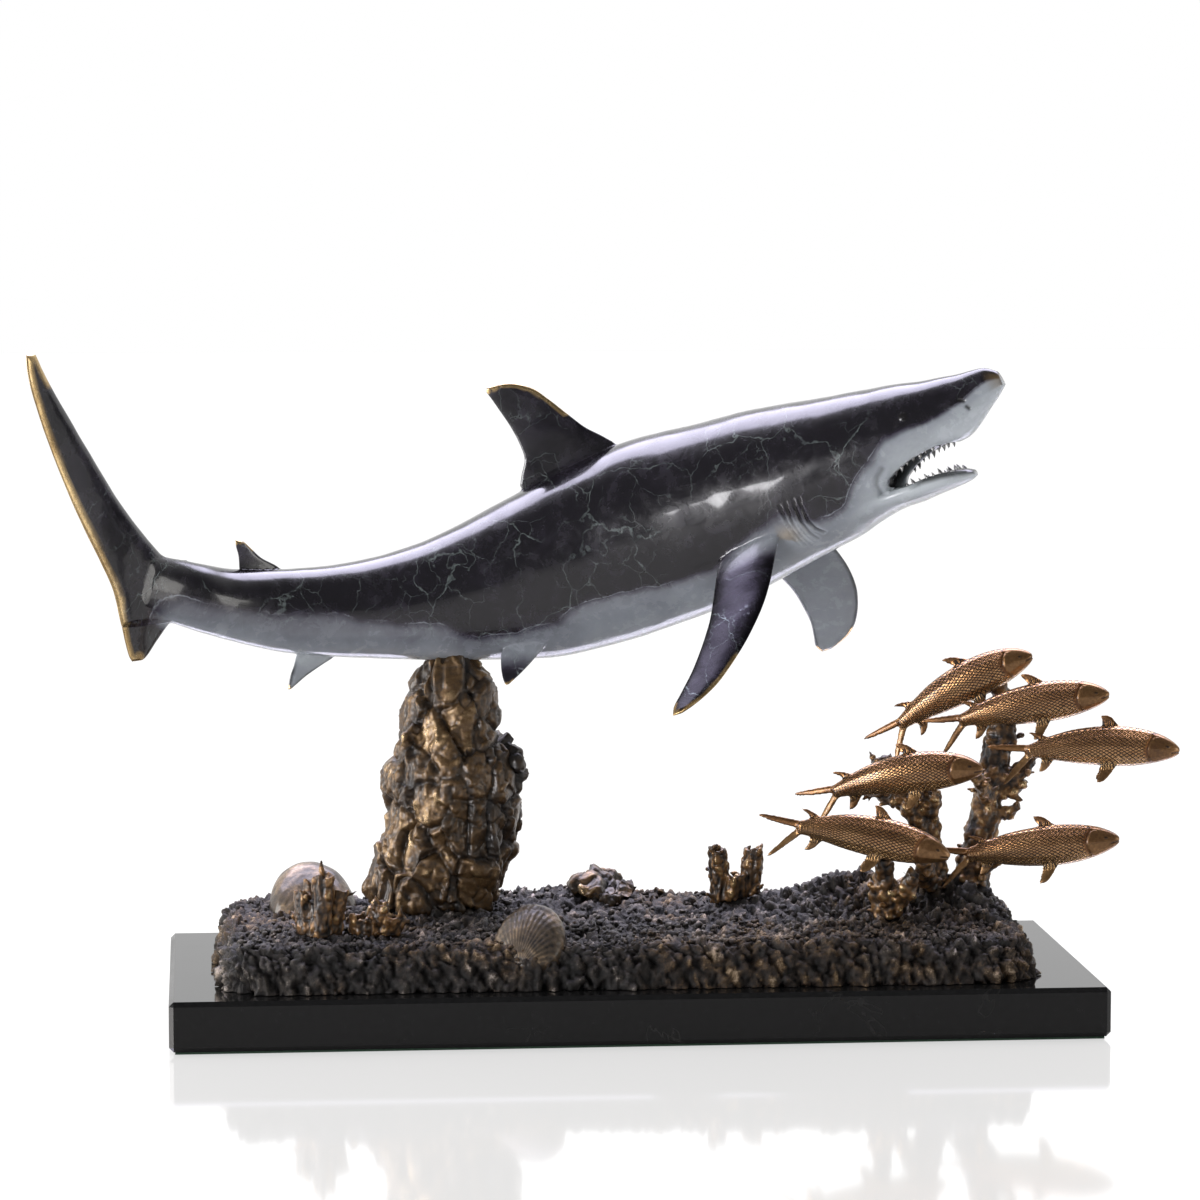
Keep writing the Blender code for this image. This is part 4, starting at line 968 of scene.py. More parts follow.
# Every fin: its rings, where along its front and back edges the gold rub begins and how wide
# it is, then how pale its near-side and far-side faces are
first = keel_fin(DORSAL_PLACE, DORSAL_OUTLINE, DORSAL_HEIGHT, DORSAL_CHORD, 1, FIN_THICKNESS)
second = (SECOND_DORSAL_PLACE, SECOND_DORSAL_OUTLINE, SECOND_DORSAL_HEIGHT, SECOND_DORSAL_CHORD)
anal = (ANAL_PLACE, ANAL_OUTLINE, ANAL_REACH, ANAL_CHORD)
blade_shape = (PECTORAL_OUTLINE, PECTORAL_REACH)
near = (1, PECTORAL_ROOT, NEAR_PECTORAL_POSE, *blade_shape, PECTORAL_CHORD, 0)
far = (-1, PECTORAL_ROOT, FAR_PECTORAL_POSE, *blade_shape, FAR_PECTORAL_CHORD, 0)
FINS = (
    (first, 0.55, 0.92, 0.0018, 0.04, 0.04),
    (keel_fin(*second, 1, SMALL_FIN_THICKNESS), 0.75, 0.9, 0.0012, 0.12, 0.12),
    (keel_fin(*anal, -1, SMALL_FIN_THICKNESS), 0.9, 0.9, 0.0010, 0.60, 0.60),
    (tail_rings(TAIL_UPPER_OUTLINE, TAIL_REACH), 0.85, 0.05, 0.0034, 0.03, 0.03),
    (tail_rings(TAIL_LOWER_OUTLINE, -TAIL_LOWER_REACH), 1.1, 0.20, 0.0030, 0.03, 0.03),
    (paired_fin(PECTORAL_PLACE, *near), 0.62, 0.86, 0.0014, 0.05, 0.66),
    (paired_fin(PECTORAL_PLACE, *far), 0.80, 0.9, 0.0012, 0.66, 0.05),
    (pelvic_rings()[0], 0.80, 0.9, 0.0010, 0.05, 0.60),
    (pelvic_rings()[1], 0.80, 0.9, 0.0010, 0.62, 0.05),
)
# Where the pale belly begins: share of length, degrees above the widest line, then over how
# many degrees the patina changes
PALE_EDGE = (
    (0.00, 0.0, 30), (0.06, 4.0, 30), (0.125, 8.0, 24), (0.185, 12.0, 20), (0.242, 8.0, 18),
    (0.30, -6.0, 16), (0.345, -16.0, 12), (0.378, -34.0, 9), (0.422, -31.0, 8), (0.47, -27.0, 7),
    (0.517, -26.0, 7), (0.57, -25.0, 7), (0.598, -30.0, 8), (0.66, -31.0, 9), (0.745, -12.0, 12),
    (0.772, -30.0, 12), (0.797, -29.0, 12), (0.83, -14.0, 12), (0.858, -5.0, 13),
    (0.875, 9.0, 12), (0.907, 5.0, 9), (0.953, 6.0, 8), (0.983, 24.0, 9), (1.0, 30.0, 10),
)
# Grooves on the head, as points forward, out and up from the hinge of the jaw in millimetres
GILLS = (
    (
        (-57.7, 31.0, -7.0), (-57.9, 30.6, -9.0), (-58.3, 29.1, -14.2),
        (-58.6, 24.5, -23.0), (-58.1, 18.7, -30.2),
    ),
    (
        (-53.8, 30.8, -6.0), (-54.6, 30.2, -10.0), (-56.1, 28.1, -16.4),
        (-56.6, 23.0, -24.5), (-55.7, 17.1, -31.4),
    ),
    (
        (-49.8, 30.2, -7.0), (-50.8, 29.4, -11.0), (-52.0, 27.1, -18.3),
        (-52.0, 22.6, -25.0), (-50.6, 17.9, -30.2),
    ),
    (
        (-46.8, 29.8, -8.0), (-47.8, 28.5, -12.5), (-49.0, 25.9, -19.7),
        (-48.0, 22.4, -25.0), (-45.6, 19.3, -28.4),
    ),
)
CHEEK_FOLDS = (
    ((-2.9, 20.8, -12.8), (-6.8, 20.8, -14.9), (-9.4, 19.7, -18.3), (-10.2, 15.7, -23.2)),
)
NOSTRILS = (((45.6, 11.2, 3.4), (47.4, 10.6, 2.0)), ((47.7, 10.2, -1.0), (48.4, 10.0, -2.6)))
GROOVES = [
    [[Vector(point) * MM for point in path] for path in paths]
    for paths in (GILLS, CHEEK_FOLDS, NOSTRILS)
]
EYE_MIDDLE = Vector((17.5, 18.6, 7.5)) * MM
EYE_RADIUS = 0.0027
# Where the patina is rubbed bare behind the gills, from the same hinge
BARE_PATCH = Vector((-62.0, 27.0, -24.5)) * MM
# The hinge of the jaw, the head's own directions, and the stretch of the head that has
# grooves, behind and before the hinge
HINGE = spine_point(HEAD_SHARE)
HEAD_TURN = Matrix(shark_heading(HEAD_SHARE))
HEAD_BACK, HEAD_FRONT = -0.066, 0.056
# What the skin carries for its finish: pale belly, gold rub, dark rim, deep (painted shade in mouth
# and grooves, and the dark eye), fin blade
SHARK_MARKS = ("pale", "rub", "rim", "deep", "blade")
# How far fin roots are rounded, and where the tail's broader root ends
ROOT_REACH = 0.0065
TAIL_END = SPINE[0].x + 0.016
# The open mouth: share of the jaw, floor and roof in jaw thicknesses, half width
OPEN_MOUTH = (
    (0.421, 0.68, 0.77, 3.0),
    (0.443, 0.58, 0.95, 3.0),
    (0.507, 0.42, 1.15, 3.0),
    (0.564, 0.36, 1.27, 3.0),
    (0.636, 0.34, 1.41, 3.0),
    (0.693, 0.33, 1.45, 3.0),
    (0.771, 0.30, 1.50, 3.0),
    (0.836, 0.25, 1.50, 3.0),
    (0.907, 0.18, 1.43, 3.0),
    (0.979, 0.10, 1.30, 3.0),
    (1.050, 0.00, 1.12, 3.0),
)


def shark_body():
    """Trunk and jaw with the mouth cut from them, joined to every fin."""
    count, around = ((280, 144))
    bodies = []
    for rings in (body_rings(0.0, 1.0, count, around), mouth_rings(JAW_STATIONS, 16)):
        gaps = [closed(mouth_rings(shape, 12)) for shape in (OPEN_MOUTH, MOUTH_HOLLOW)]
        bodies.append(carve(closed(rings), gaps))
    return carve(bodies[0], [bodies[1]] + [full_fin(row[0]) for row in FINS], "UNION")


def ridge_line(vert, paths, reach):
    """Distance from a point to the nearest of some lines on the head, up to a reach."""
    best = reach
    for path in paths:
        for start, end in zip(path, path[1:]):
            way = end - start
            share = clamp((vert - start).dot(way) / way.length_squared)
            best = min(best, (vert - start - way * share).length)
    return best


def refine(bm, verts, cuts):
    """Split the faces among some points into finer ones."""
    chosen = set(verts)
    edges = [edge for edge in bm.edges if edge.verts[0] in chosen and edge.verts[1] in chosen]
    bmesh.ops.subdivide_edges(bm, edges=edges, cuts=cuts, use_grid_fill=True)


def tree_of(points):
    """A search tree over points."""
    tree = kdtree.KDTree(len(points))
    for i, point in enumerate(points):
        tree.insert(point, i)
    tree.balance()
    return tree


def read_shark(point, spine):
    """Where a point lies on the shark: share of length, degrees and share out."""
    _, index, _ = spine.find(point)
    ahead, right, up = shark_heading(index / SPINE_STEPS)
    away = point - SPINE[index]
    t = clamp(index / SPINE_STEPS + away.dot(ahead) / SHARK_LENGTH)
    beyond = max(-away.dot(ahead) - 0.002, 0.0) / 0.012 if index == 0 else 0.0
    above, below, half = body_size(t)
    high = away.dot(up)
    wide = away.dot(right)
    scaled = high / (above if high > 0 else below)
    angle = math.degrees(math.atan2(scaled, abs(wide) / half))
    return t, angle, math.hypot(scaled, wide / half) + beyond


def head_point(point):
    """A point in the head's own directions from the hinge of the jaw: ahead, right and up."""
    return HEAD_TURN @ (point - HINGE)


def round_roots(skin, spine):
    """Round the roots of the fins, but not their thin rims, and give a search tree of the rims."""
    roots, rims = [], []
    for row in FINS:
        fin = full_fin(row[0])
        for vert in fin.verts:
            roots += [vert.co.copy()] * (abs(read_shark(vert.co, spine)[2] - 1.0) < 0.12)
        fin.free()
        rims += [point for point, _ in rim_points(row[0], -1, -1, 0.001)]
    tail_way = shark_heading(0.0)[0]
    for vert in skin.verts:
        away = vert.co - SPINE[0]
        roots += [vert.co.copy()] * (abs(away.dot(tail_way)) < 0.002 and away.length < 0.022)
    root_tree, rim_tree = tree_of(roots), tree_of(rims)

    def near_root(reach):
        chosen = []
        for vert in skin.verts:
            if root_tree.find(vert.co)[2] < reach * (2 if vert.co.x < TAIL_END else 1):
                stem = 0.018 < vert.co.x - SPINE[0].x < 0.042
                inner = read_shark(vert.co, spine)[2] < (1.40 if stem else 1.04)
                chosen += [vert] * (inner or rim_tree.find(vert.co)[2] > 0.0026)
        return chosen

    refine(skin, near_root(ROOT_REACH), 1)
    blend = near_root(ROOT_REACH)
    soften(skin, blend, 16)
    soften(skin, [vert for vert in blend if vert.co.x < TAIL_END], 24)
    return rim_tree


def soften_throat(skin):
    """Blend the jaw's root into the throat."""
    throat = []
    for vert in skin.verts:
        held = head_point(vert.co)
        throat += [vert] * (-0.052 < held.x < -0.009 - (held.z + 0.020) * 0.5 and held.z < -0.014)
    soften(skin, throat, 24)


def mirrored(point):
    """A head point brought to the right side, and whether it lies where the grooves are."""
    held = head_point(point)
    held.y = abs(held.y)
    return held, HEAD_BACK < held.x < HEAD_FRONT and held.y > 0.002


def head_relief(held):
    """Push, darkness and added paleness that grooves, nostrils and eye give a head point; the
    darkness of grooves and nostrils is painted shade, the eye's is its own colour.
    """
    gill, fold, hole = (ridge_line(held, paths, 0.01) for paths in GROOVES)
    fade = clamp((-0.0065 - held.z) / 0.007) * clamp((held.z + 0.0325) / 0.006)
    ball = (held - EYE_MIDDLE).length
    push = 0.0
    push -= 0.00095 * bell(gill / 0.00060) * fade
    push += 0.00055 * bell((gill - 0.00150) / 0.00065) * fade
    push -= 0.00060 * bell(fold / 0.0014)
    push += 0.00050 * bell((fold - 0.0030) / 0.0014)
    push -= 0.00070 * bell(hole / 0.0008)
    push += 0.0005 * max(1 - (ball / EYE_RADIUS) ** 2, 0.0)
    # Painted shade: gill grooves, cheek folds and nostrils are darkened where shade falls in them;
    # the eye is dark in its own colour.
    dark = max(
        0.70 * bell(gill / 0.00060) * fade,
        0.35 * bell(fold / 0.0011),
        0.90 * bell(hole / 0.0010),
        0.8 * clamp((EYE_RADIUS - ball) / 0.0009),
    )
    return push, dark, 0.17 * bell((gill - 0.00150) / 0.00060) * fade


def shark_skin():
    """The casting's skin: rounded fin roots, gills and folds, and marks for its finish."""
    skin = shark_body()
    spine = tree_of(SPINE)
    rim_tree = round_roots(skin, spine)
    soften_throat(skin)
    work = []
    for vert in skin.verts:
        held, grooved = mirrored(vert.co)
        if grooved:
            near = min(ridge_line(held, paths, 0.01) for paths in GROOVES)
            work += [vert] * (near < 0.0034 or (held - EYE_MIDDLE).length < 0.0060)
    refine(skin, work, 3)
    skin.normal_update()

    pale, rub, rim, deep, blade = (skin.verts.layers.float.new(mark) for mark in SHARK_MARKS)
    edge_points, fin_points = [], []
    for index, row in enumerate(FINS):
        edge_points += rim_points(row[0], *row[1:4])
        fin_points += [(point, index) for ring in row[0] for point in ring]
        for lower, upper in zip(row[0], row[0][1:]):
            fin_points += [(a.lerp(b, 0.5), index) for a, b in zip(lower, upper)]
    edge_tree = tree_of([point for point, _ in edge_points])
    fin_tree = tree_of([point for point, _ in fin_points])
    skin.normal_update()
    moves = []
    for vert in skin.verts:
        t, angle, out = read_shark(vert.co, spine)
        edge = smooth_value(PALE_EDGE, 1, t)
        edge = edge + 8 * lump(vert.co, 0.019, 2.0) + 1.5 * lump(vert.co, 0.007, 3.0)
        width = smooth_value(PALE_EDGE, 2, t) * 1.25
        step = clamp((edge - angle) / width)
        value = 0.46 * step * step * (3 - 2 * step)
        value += 0.54 * clamp((edge - angle - width) / (edge - width + 90))
        value += 0.16 * step * clamp((t - 0.78) / 0.10)
        value *= 0.80 + 0.20 * clamp((t - 0.3) / 0.3)
        _, index, _ = fin_tree.find(vert.co)
        row = FINS[fin_points[index][1]]
        share = clamp((out - 1.12) / 0.30) * (t < 0.79)
        share = max(share, clamp((0.045 - t) / 0.040))
        _, beside, _ = shark_heading(t)
        faces = clamp(vert.normal.dot(beside) * 2 + 0.5)
        fin_pale = row[4] * faces + row[5] * (1 - faces)
        vert[pale] = value * (1 - share) + fin_pale * share
        vert[blade] = share * (t > 0.55)
        _, index, away = edge_tree.find(vert.co)
        size = edge_points[index][1]
        fade = 1 - (away - size * 0.75) / (size * 0.6)
        vert[rub] = clamp(fade) * clamp((out - 1.15) / 0.1)
        tip = clamp((t - 0.986) / 0.014) * clamp((angle + 30) / 30)
        vert[rub] = max(vert[rub], 0.32 * tip * clamp((62 - angle) / 30))
        near_rim = rim_tree.find(vert.co)[2]
        vert[rim] = clamp(1 - (near_rim - 0.0008) / 0.0012) * share
        held, grooved = mirrored(vert.co)
        push, dark = 0.0, 0.0
        if grooved:
            push, dark, paler = head_relief(held)
            vert[pale] += paler
            bare = bell((held - BARE_PATCH).length / 0.0055)
            vert[rub] = max(vert[rub], 0.4 * bare * (vert.co.y < HINGE.y))
        # Painted shade: the inside of the open mouth, and a strip along the top of the lower jaw
        # where the mouth's inside shows, are darkened as shade.
        if held.x > -0.022 and out < 0.93 and held.z < 0.0 and t < 0.97:
            dark = max(dark, clamp((0.90 - out) / 0.12))
        gum = (held.z + 0.0249 + 0.233 * held.x) / 0.0010
        if -0.001 < held.x < 0.036 and held.z < -0.0195:
            dark = max(dark, 0.85 * clamp(gum))
        vert[deep] = dark
        push += 0.00022 * lump(vert.co, 0.020, 9.0) + 0.00010 * lump(vert.co, 0.009, 4.0)
        moves.append((vert, push))
    shift(moves)
    return skin


def shark_finish():
    made, tone = finish("blue-black shark patina", Coat_Roughness=0.07, Specular_IOR_Level=0.45)
    place = tone.place()
    pale, rub, rim, deep, blade = (tone.stored(mark) for mark in SHARK_MARKS)
    cloud = tone.cloud(place, 30.0, 6.0, 0.62, 0.6)
    fine = tone.cloud(place, 230.0, 6.0, 0.65)
    noisy = {"Vector": place, "Scale": 52.0, "Detail": 6.0}
    sway = tone.node("ShaderNodeTexNoise", {}, noisy, "Color")
    drift = {0: sway, 1: (0.022, 0.022, 0.022), 2: place}
    warped = tone.node("ShaderNodeVectorMath", {"operation": "MULTIPLY_ADD"}, drift)
    edges = {"feature": "DISTANCE_TO_EDGE"}
    wide = tone.node("ShaderNodeTexVoronoi", edges, {"Vector": warped, "Scale": 21.0})
    tight = tone.node("ShaderNodeTexVoronoi", edges, {"Vector": warped, "Scale": 52.0})
    patch = tone.cloud(place, 17.0, 3.0)
    vein = tone.step(wide, 0.0, 0.0100, 1.0, 0.0) * tone.step(patch, 0.36, 0.54)
    vein = vein + tone.step(tight, 0.0, 0.017, 0.6, 0.0) * tone.step(patch, 0.42, 0.58)
    vein = vein * tone.step(fine, 0.34, 0.62, 0.15, 1.0)
    mottle = tone.cloud(place, 85.0, 5.0, 0.65, 0.5)
    level = pale + (cloud - 0.5) * 0.26 + (mottle - 0.5) * 0.22 + (fine - 0.5) * 0.12
    colour = tone.ramp(
        level,
        (0.00, (0.0075, 0.0065, 0.0095)),
        (0.14, (0.026, 0.022, 0.034)),
        (0.30, (0.095, 0.098, 0.118)),
        (0.56, (0.235, 0.255, 0.28)),
        (0.98, (0.47, 0.51, 0.53)),
    )
    colour = tone.mix(vein * 0.42, colour, (0.24, 0.29, 0.28))
    shore = tone.step(level, 0.10, 0.13) * tone.step(level, 0.13, 0.165, 1.0, 0.0)
    shore = shore * tone.step(patch, 0.44, 0.54)
    colour = tone.mix(shore * tone.step(mottle, 0.40, 0.60) * 0.45, colour, (0.42, 0.46, 0.50))
    colour = tone.mix(rim * tone.step(pale, 0.2, 0.4) * 0.8, colour, (0.03, 0.032, 0.034))
    gold = cloud + (fine - 0.5) * 0.5
    gold = tone.ramp(gold, (0.3, (0.30, 0.19, 0.07)), (0.6, (0.62, 0.45, 0.22)))
    colour = tone.mix(rub, colour, gold)
    # Painted shade: deep darkens the mouth, gills, folds and nostrils to near black; it also gives
    # the eye its dark colour.
    colour = tone.mix(deep, colour, (0.010, 0.009, 0.009))
    rough = tone.step(mottle + fine * 0.4, 0.5, 0.95, 0.16, 0.34)
    bump = tone.bump(mottle + fine * 0.3 + vein * 0.15, 0.22, 0.0007)
    dark_blade = blade * tone.step(pale, 0.15, 0.35, 1.0, 0.0)
    metal = rub.maths("MAXIMUM", rub * 0.9, dark_blade * 0.85)
    wear(made, Base_Color=colour, Roughness=rough, Metallic=metal, Normal=bump)
    return wear(made, Coat_Weight=tone.step(deep, 0.3, 1.0, 0.7, 0.2) * (1 - blade * 0.75))


blue_black = shark_finish()
settle("shark_casting", shark_skin(), blue_black, "shark_bronze", "shark")


# Teeth: slim pointed teeth cast with both gums, nine to a side in each, of uneven length and
# a little worn. Their bronze is left bare, so it shows grey-white against the dark mouth.


TOOTH_LENGTH = 0.0042
TOOTH_WIDTH = 0.0026
TOOTH_INSET = 0.0012
TEETH_IN_ROW = 9
# Where the lower row of teeth starts and ends, then the upper row's start and its length, all
# as shares of the jaw
LOWER_TEETH = (0.56, 0.94)
UPPER_START, UPPER_ROW = 0.52, 0.40
# Sizes that the teeth take in turn, and how far their tips lean back
LOWER_SIZES, LOWER_LEAN = (0.55, 0.78, 0.48, 0.70), -0.7
UPPER_SIZES, UPPER_LEAN = (0.5, 0.66, 0.42, 0.55, 0.72), -0.9


def tooth(foot, tip_way, along, size, lean):
    """A slim pointed tooth standing on the gum."""
    side = tip_way.cross(along).normalized()
    half = TOOTH_WIDTH / 2 * size
    rings = []
    for level, wide in ((-0.5, 1.3), (0.1, 1.15), (0.55, 0.65), (0.95, 0.12)):
        rise, bend = TOOTH_LENGTH * size * level, lean * level * level * half
        centre = foot + tip_way * rise + along * bend
        rings.append([
            centre + (along * math.cos(a) + side * (0.65 * math.sin(a))) * (half * wide)
            for a in turns(8)
        ])
    return closed(rings)


def shark_teeth():
    """Both rows of teeth."""
    ahead, _, above = shark_heading(HEAD_SHARE)
    row = []
    for hand in (-1, 1):
        for k in range(TEETH_IN_ROW):
            share = LOWER_TEETH[0] + (LOWER_TEETH[1] - LOWER_TEETH[0]) * k / (TEETH_IN_ROW - 1)
            high = smooth_value(JAW_STATIONS, 1, share)
            low = smooth_value(JAW_STATIONS, 2, share)
            floor = min(smooth_value(OPEN_MOUTH, 1, share), high * 0.9)
            level = (2 * floor - high - low) / (high - low)
            wide = smooth_value(JAW_STATIONS, 3, share) * JAW_WIDTH / 2
            wide = wide * math.sqrt(max(1 - level * level, 0.05))
            foot = jaw_point(share, hand * (wide - TOOTH_INSET), floor * JAW_THICKNESS)
            row.append(tooth(foot, above, ahead, LOWER_SIZES[k % 4], LOWER_LEAN))
        for k in range(TEETH_IN_ROW):
            share = UPPER_START + UPPER_ROW * k / (TEETH_IN_ROW - 1)
            t = HEAD_SHARE + (JAW_START + JAW_LENGTH * share) / SHARK_LENGTH
            _, below, half = body_size(t)
            roof = smooth_value(OPEN_MOUTH, 2, share) * JAW_THICKNESS - 0.0006
            level = min((JAW_DROP - roof) / below, 0.98)
            wide = max(half * math.sqrt(1 - level * level) - TOOTH_INSET, 0.0015)
            foot = jaw_point(share, hand * wide, roof)
            row.append(tooth(foot, -above, ahead, UPPER_SIZES[k % 5], UPPER_LEAN))
    return joined(row)


def tooth_finish():
    made, tone = finish("worn tooth bronze", Metallic=0.9, Roughness=0.28)
    tarnish = tone.cloud(tone.place(), 420.0, 4.0)
    colour = tone.ramp(tarnish, (0.35, (0.08, 0.08, 0.085)), (0.7, (0.55, 0.55, 0.54)))
    return wear(made, Base_Color=colour)


settle("shark_teeth", shark_teeth(), tooth_finish(), "shark_bronze")


# Small fish: six castings of one pattern, each brazed to a coral branch or the bed. Their
# scales are rubbed copper-bright over a darker ground.

FISH_LENGTH = 0.079
FISH_DEPTH = 0.0195
FISH_WIDTH = 0.0125
FISH_FIN_THICKNESS = 0.0016
FISH_FIN_STEP = 0.07
FISH_FIN_OFFSET = 0.00004
FISH_TAIL_THICKNESS = 0.0023
FISH_TAIL_STEP = 0.12
FISH_TAIL_CURL = 0.0022
FISH_TAIL_SPREAD = 0.0100
FISH_TAIL_REACH = 0.0185

# Snout and tail root of each fish, the rise of its back between them and the backward lean of
# its first fin, in millimetres
FISH = (
    ((216, 20, 180), (147, 38, 141), 5, 8.0),
    ((253, 0, 161.5), (177, 19, 146), 3, 6.5),
    ((288, -11, 133), (213, 0, 132), 3.5, 2.5),
    ((183, -22, 126), (108, 0, 112), 4.5, 6.0),
    ((162, -45, 84.5), (90, -34, 98), 3.5, 4.0),
    ((252.5, -32, 90.5), (176, -14, 80.5), 1, 5.0),
)
# Share of the length from the snout, height above, depth below and half width as shares
FISH_STATIONS = (
    (0.00, 0.16, 0.16, 0.16),
    (0.04, 0.42, 0.42, 0.48),
    (0.12, 0.72, 0.72, 0.80),
    (0.24, 0.94, 1.00, 0.98),
    (0.38, 1.04, 1.14, 1.00),
    (0.54, 1.02, 1.10, 0.92),
    (0.70, 0.90, 0.92, 0.76),
    (0.84, 0.68, 0.64, 0.54),
    (0.94, 0.48, 0.42, 0.36),
    (1.00, 0.36, 0.34, 0.24),
)
# Fins: share of the length, reach, chord and lean in millimetres, sideways share, direction
FISH_FINS = (
    (0.44, 8.5, 10.5, 0.0, 0.0, 1),
    (0.86, 5.5, 7.5, 7.0, 0.0, 1),
    (0.86, 7.5, 8.0, 4.0, 0.0, -1),
    (0.45, 11.0, 9.0, 4.5, 0.35, -1),
)
FISH_FIN_OUTLINE = (
    (0.00, 0.50, -0.50),
    (0.50, 0.34, -0.44),
    (0.85, 0.16, -0.42),
    (1.00, -0.08, -0.36),
)
FISH_TAIL_OUTLINE = (
    (-0.10, 0.50, -0.42),
    (0.35, 0.38, -0.50),
    (0.75, 0.20, -0.44),
    (1.00, 0.00, -0.26),
)
# Tilt of the tail below the fish's line, its root and the chord of a lobe
FISH_TAIL_TILT = 13.0
FISH_TAIL_ROOT = (0.002, 0.001)
FISH_TAIL_CHORD = 0.0105
FISH_FIN_SINK = 0.72


def fish_frame(snout, tail, rise, t):
    """Point and directions of a fish's arched middle line, from its snout to its tail."""
    middle = (snout + tail) / 2 + Vector((0, 0, 2 * rise))
    centre = snout * (1 - t) ** 2 + middle * (2 * t * (1 - t)) + tail * t**2
    back = ((middle - snout) * (1 - t) + (tail - middle) * t).normalized()
    right = back.cross(Vector((0, 0, 1))).normalized()
    return centre, -back, right, right.cross(-back) * -1


def fish_rings(index):
    """Rings of a fish's body and of each of its fins."""
    snout = Vector(FISH[index][0]) * MM
    tail = Vector(FISH[index][1]) * MM
    rise = FISH[index][2] * MM
    way = (tail - snout).normalized()
    tail = snout + way * FISH_LENGTH
    around = 12
    body = []
    for t, above, below, wide in FISH_STATIONS:
        centre, ahead, right, up = fish_frame(snout, tail, rise, t)
        ring = []
        for angle in turns(around):
            height = (above if math.sin(angle) > 0 else below) * FISH_DEPTH / 2
            half = wide * FISH_WIDTH / 2
            ring.append(centre + right * (half * math.cos(angle)) + up * (height * math.sin(angle)))
        body.append(ring)
    parts = [body]
    for t, reach, chord, sweep, spread, way_up in FISH_FINS:
        sweep = sweep or FISH[index][3]
        centre, ahead, right, up = fish_frame(snout, tail, rise, t)
        hands = (0,) if spread == 0 else (-1, 1)
        for hand in hands:
            above = smooth_value(FISH_STATIONS, 1 if way_up > 0 else 2, t) * FISH_DEPTH / 2
            half = smooth_value(FISH_STATIONS, 3, t) * FISH_WIDTH / 2
            beside = hand * spread * half + FISH_FIN_OFFSET * len(parts)
            root = centre + up * (way_up * above * FISH_FIN_SINK) + right * beside
            span = up * (way_up * reach) + right * (hand * spread * reach) - ahead * sweep
            thick = FISH_FIN_THICKNESS * (1 + FISH_FIN_STEP * len(parts))
            parts.append(fin_rings(root, span * MM, ahead * (chord * MM), FISH_FIN_OUTLINE, thick))
    centre, ahead, right, up = fish_frame(snout, tail, rise, 1.0)
    tilt = math.radians(FISH_TAIL_TILT)
    way = -ahead * math.cos(tilt) - up * math.sin(tilt)
    rise_way = up * math.cos(tilt) - ahead * math.sin(tilt)
    for hand in (-1, 1):
        curl = right * (hand * FISH_TAIL_CURL)
        span = rise_way * (hand * FISH_TAIL_SPREAD) + way * FISH_TAIL_REACH + curl
        root = centre - way * FISH_TAIL_ROOT[0] + rise_way * (hand * FISH_TAIL_ROOT[1])
        thick = FISH_TAIL_THICKNESS * (1 + FISH_TAIL_STEP * hand)
        parts.append(fin_rings(root, span, -way * FISH_TAIL_CHORD, FISH_TAIL_OUTLINE, thick))
    return parts


# Share of the length at which the eye lies, and at which the gill cover ends
FISH_EYE = 0.085
GILL_COVER = 0.215
# What the skin carries for its finish
FISH_MARKS = ("along", "around", "scaly", "deep", "gold", "eye")
SCALE_ROWS = 26
SCALES_AROUND = 6


def read_fish(point, lines):
    """Share of a fish's length and degrees from its back at a point."""
    tree, frames = lines
    _, index, _ = tree.find(point)
    centre, ahead, right, up = frames[index]
    away = point - centre
    t = index / (len(frames) - 1) - away.dot(ahead) / FISH_LENGTH
    turn = math.degrees(math.atan2(abs(away.dot(right)), away.dot(up)))
    return t, turn, away.dot(up), abs(away.dot(right))


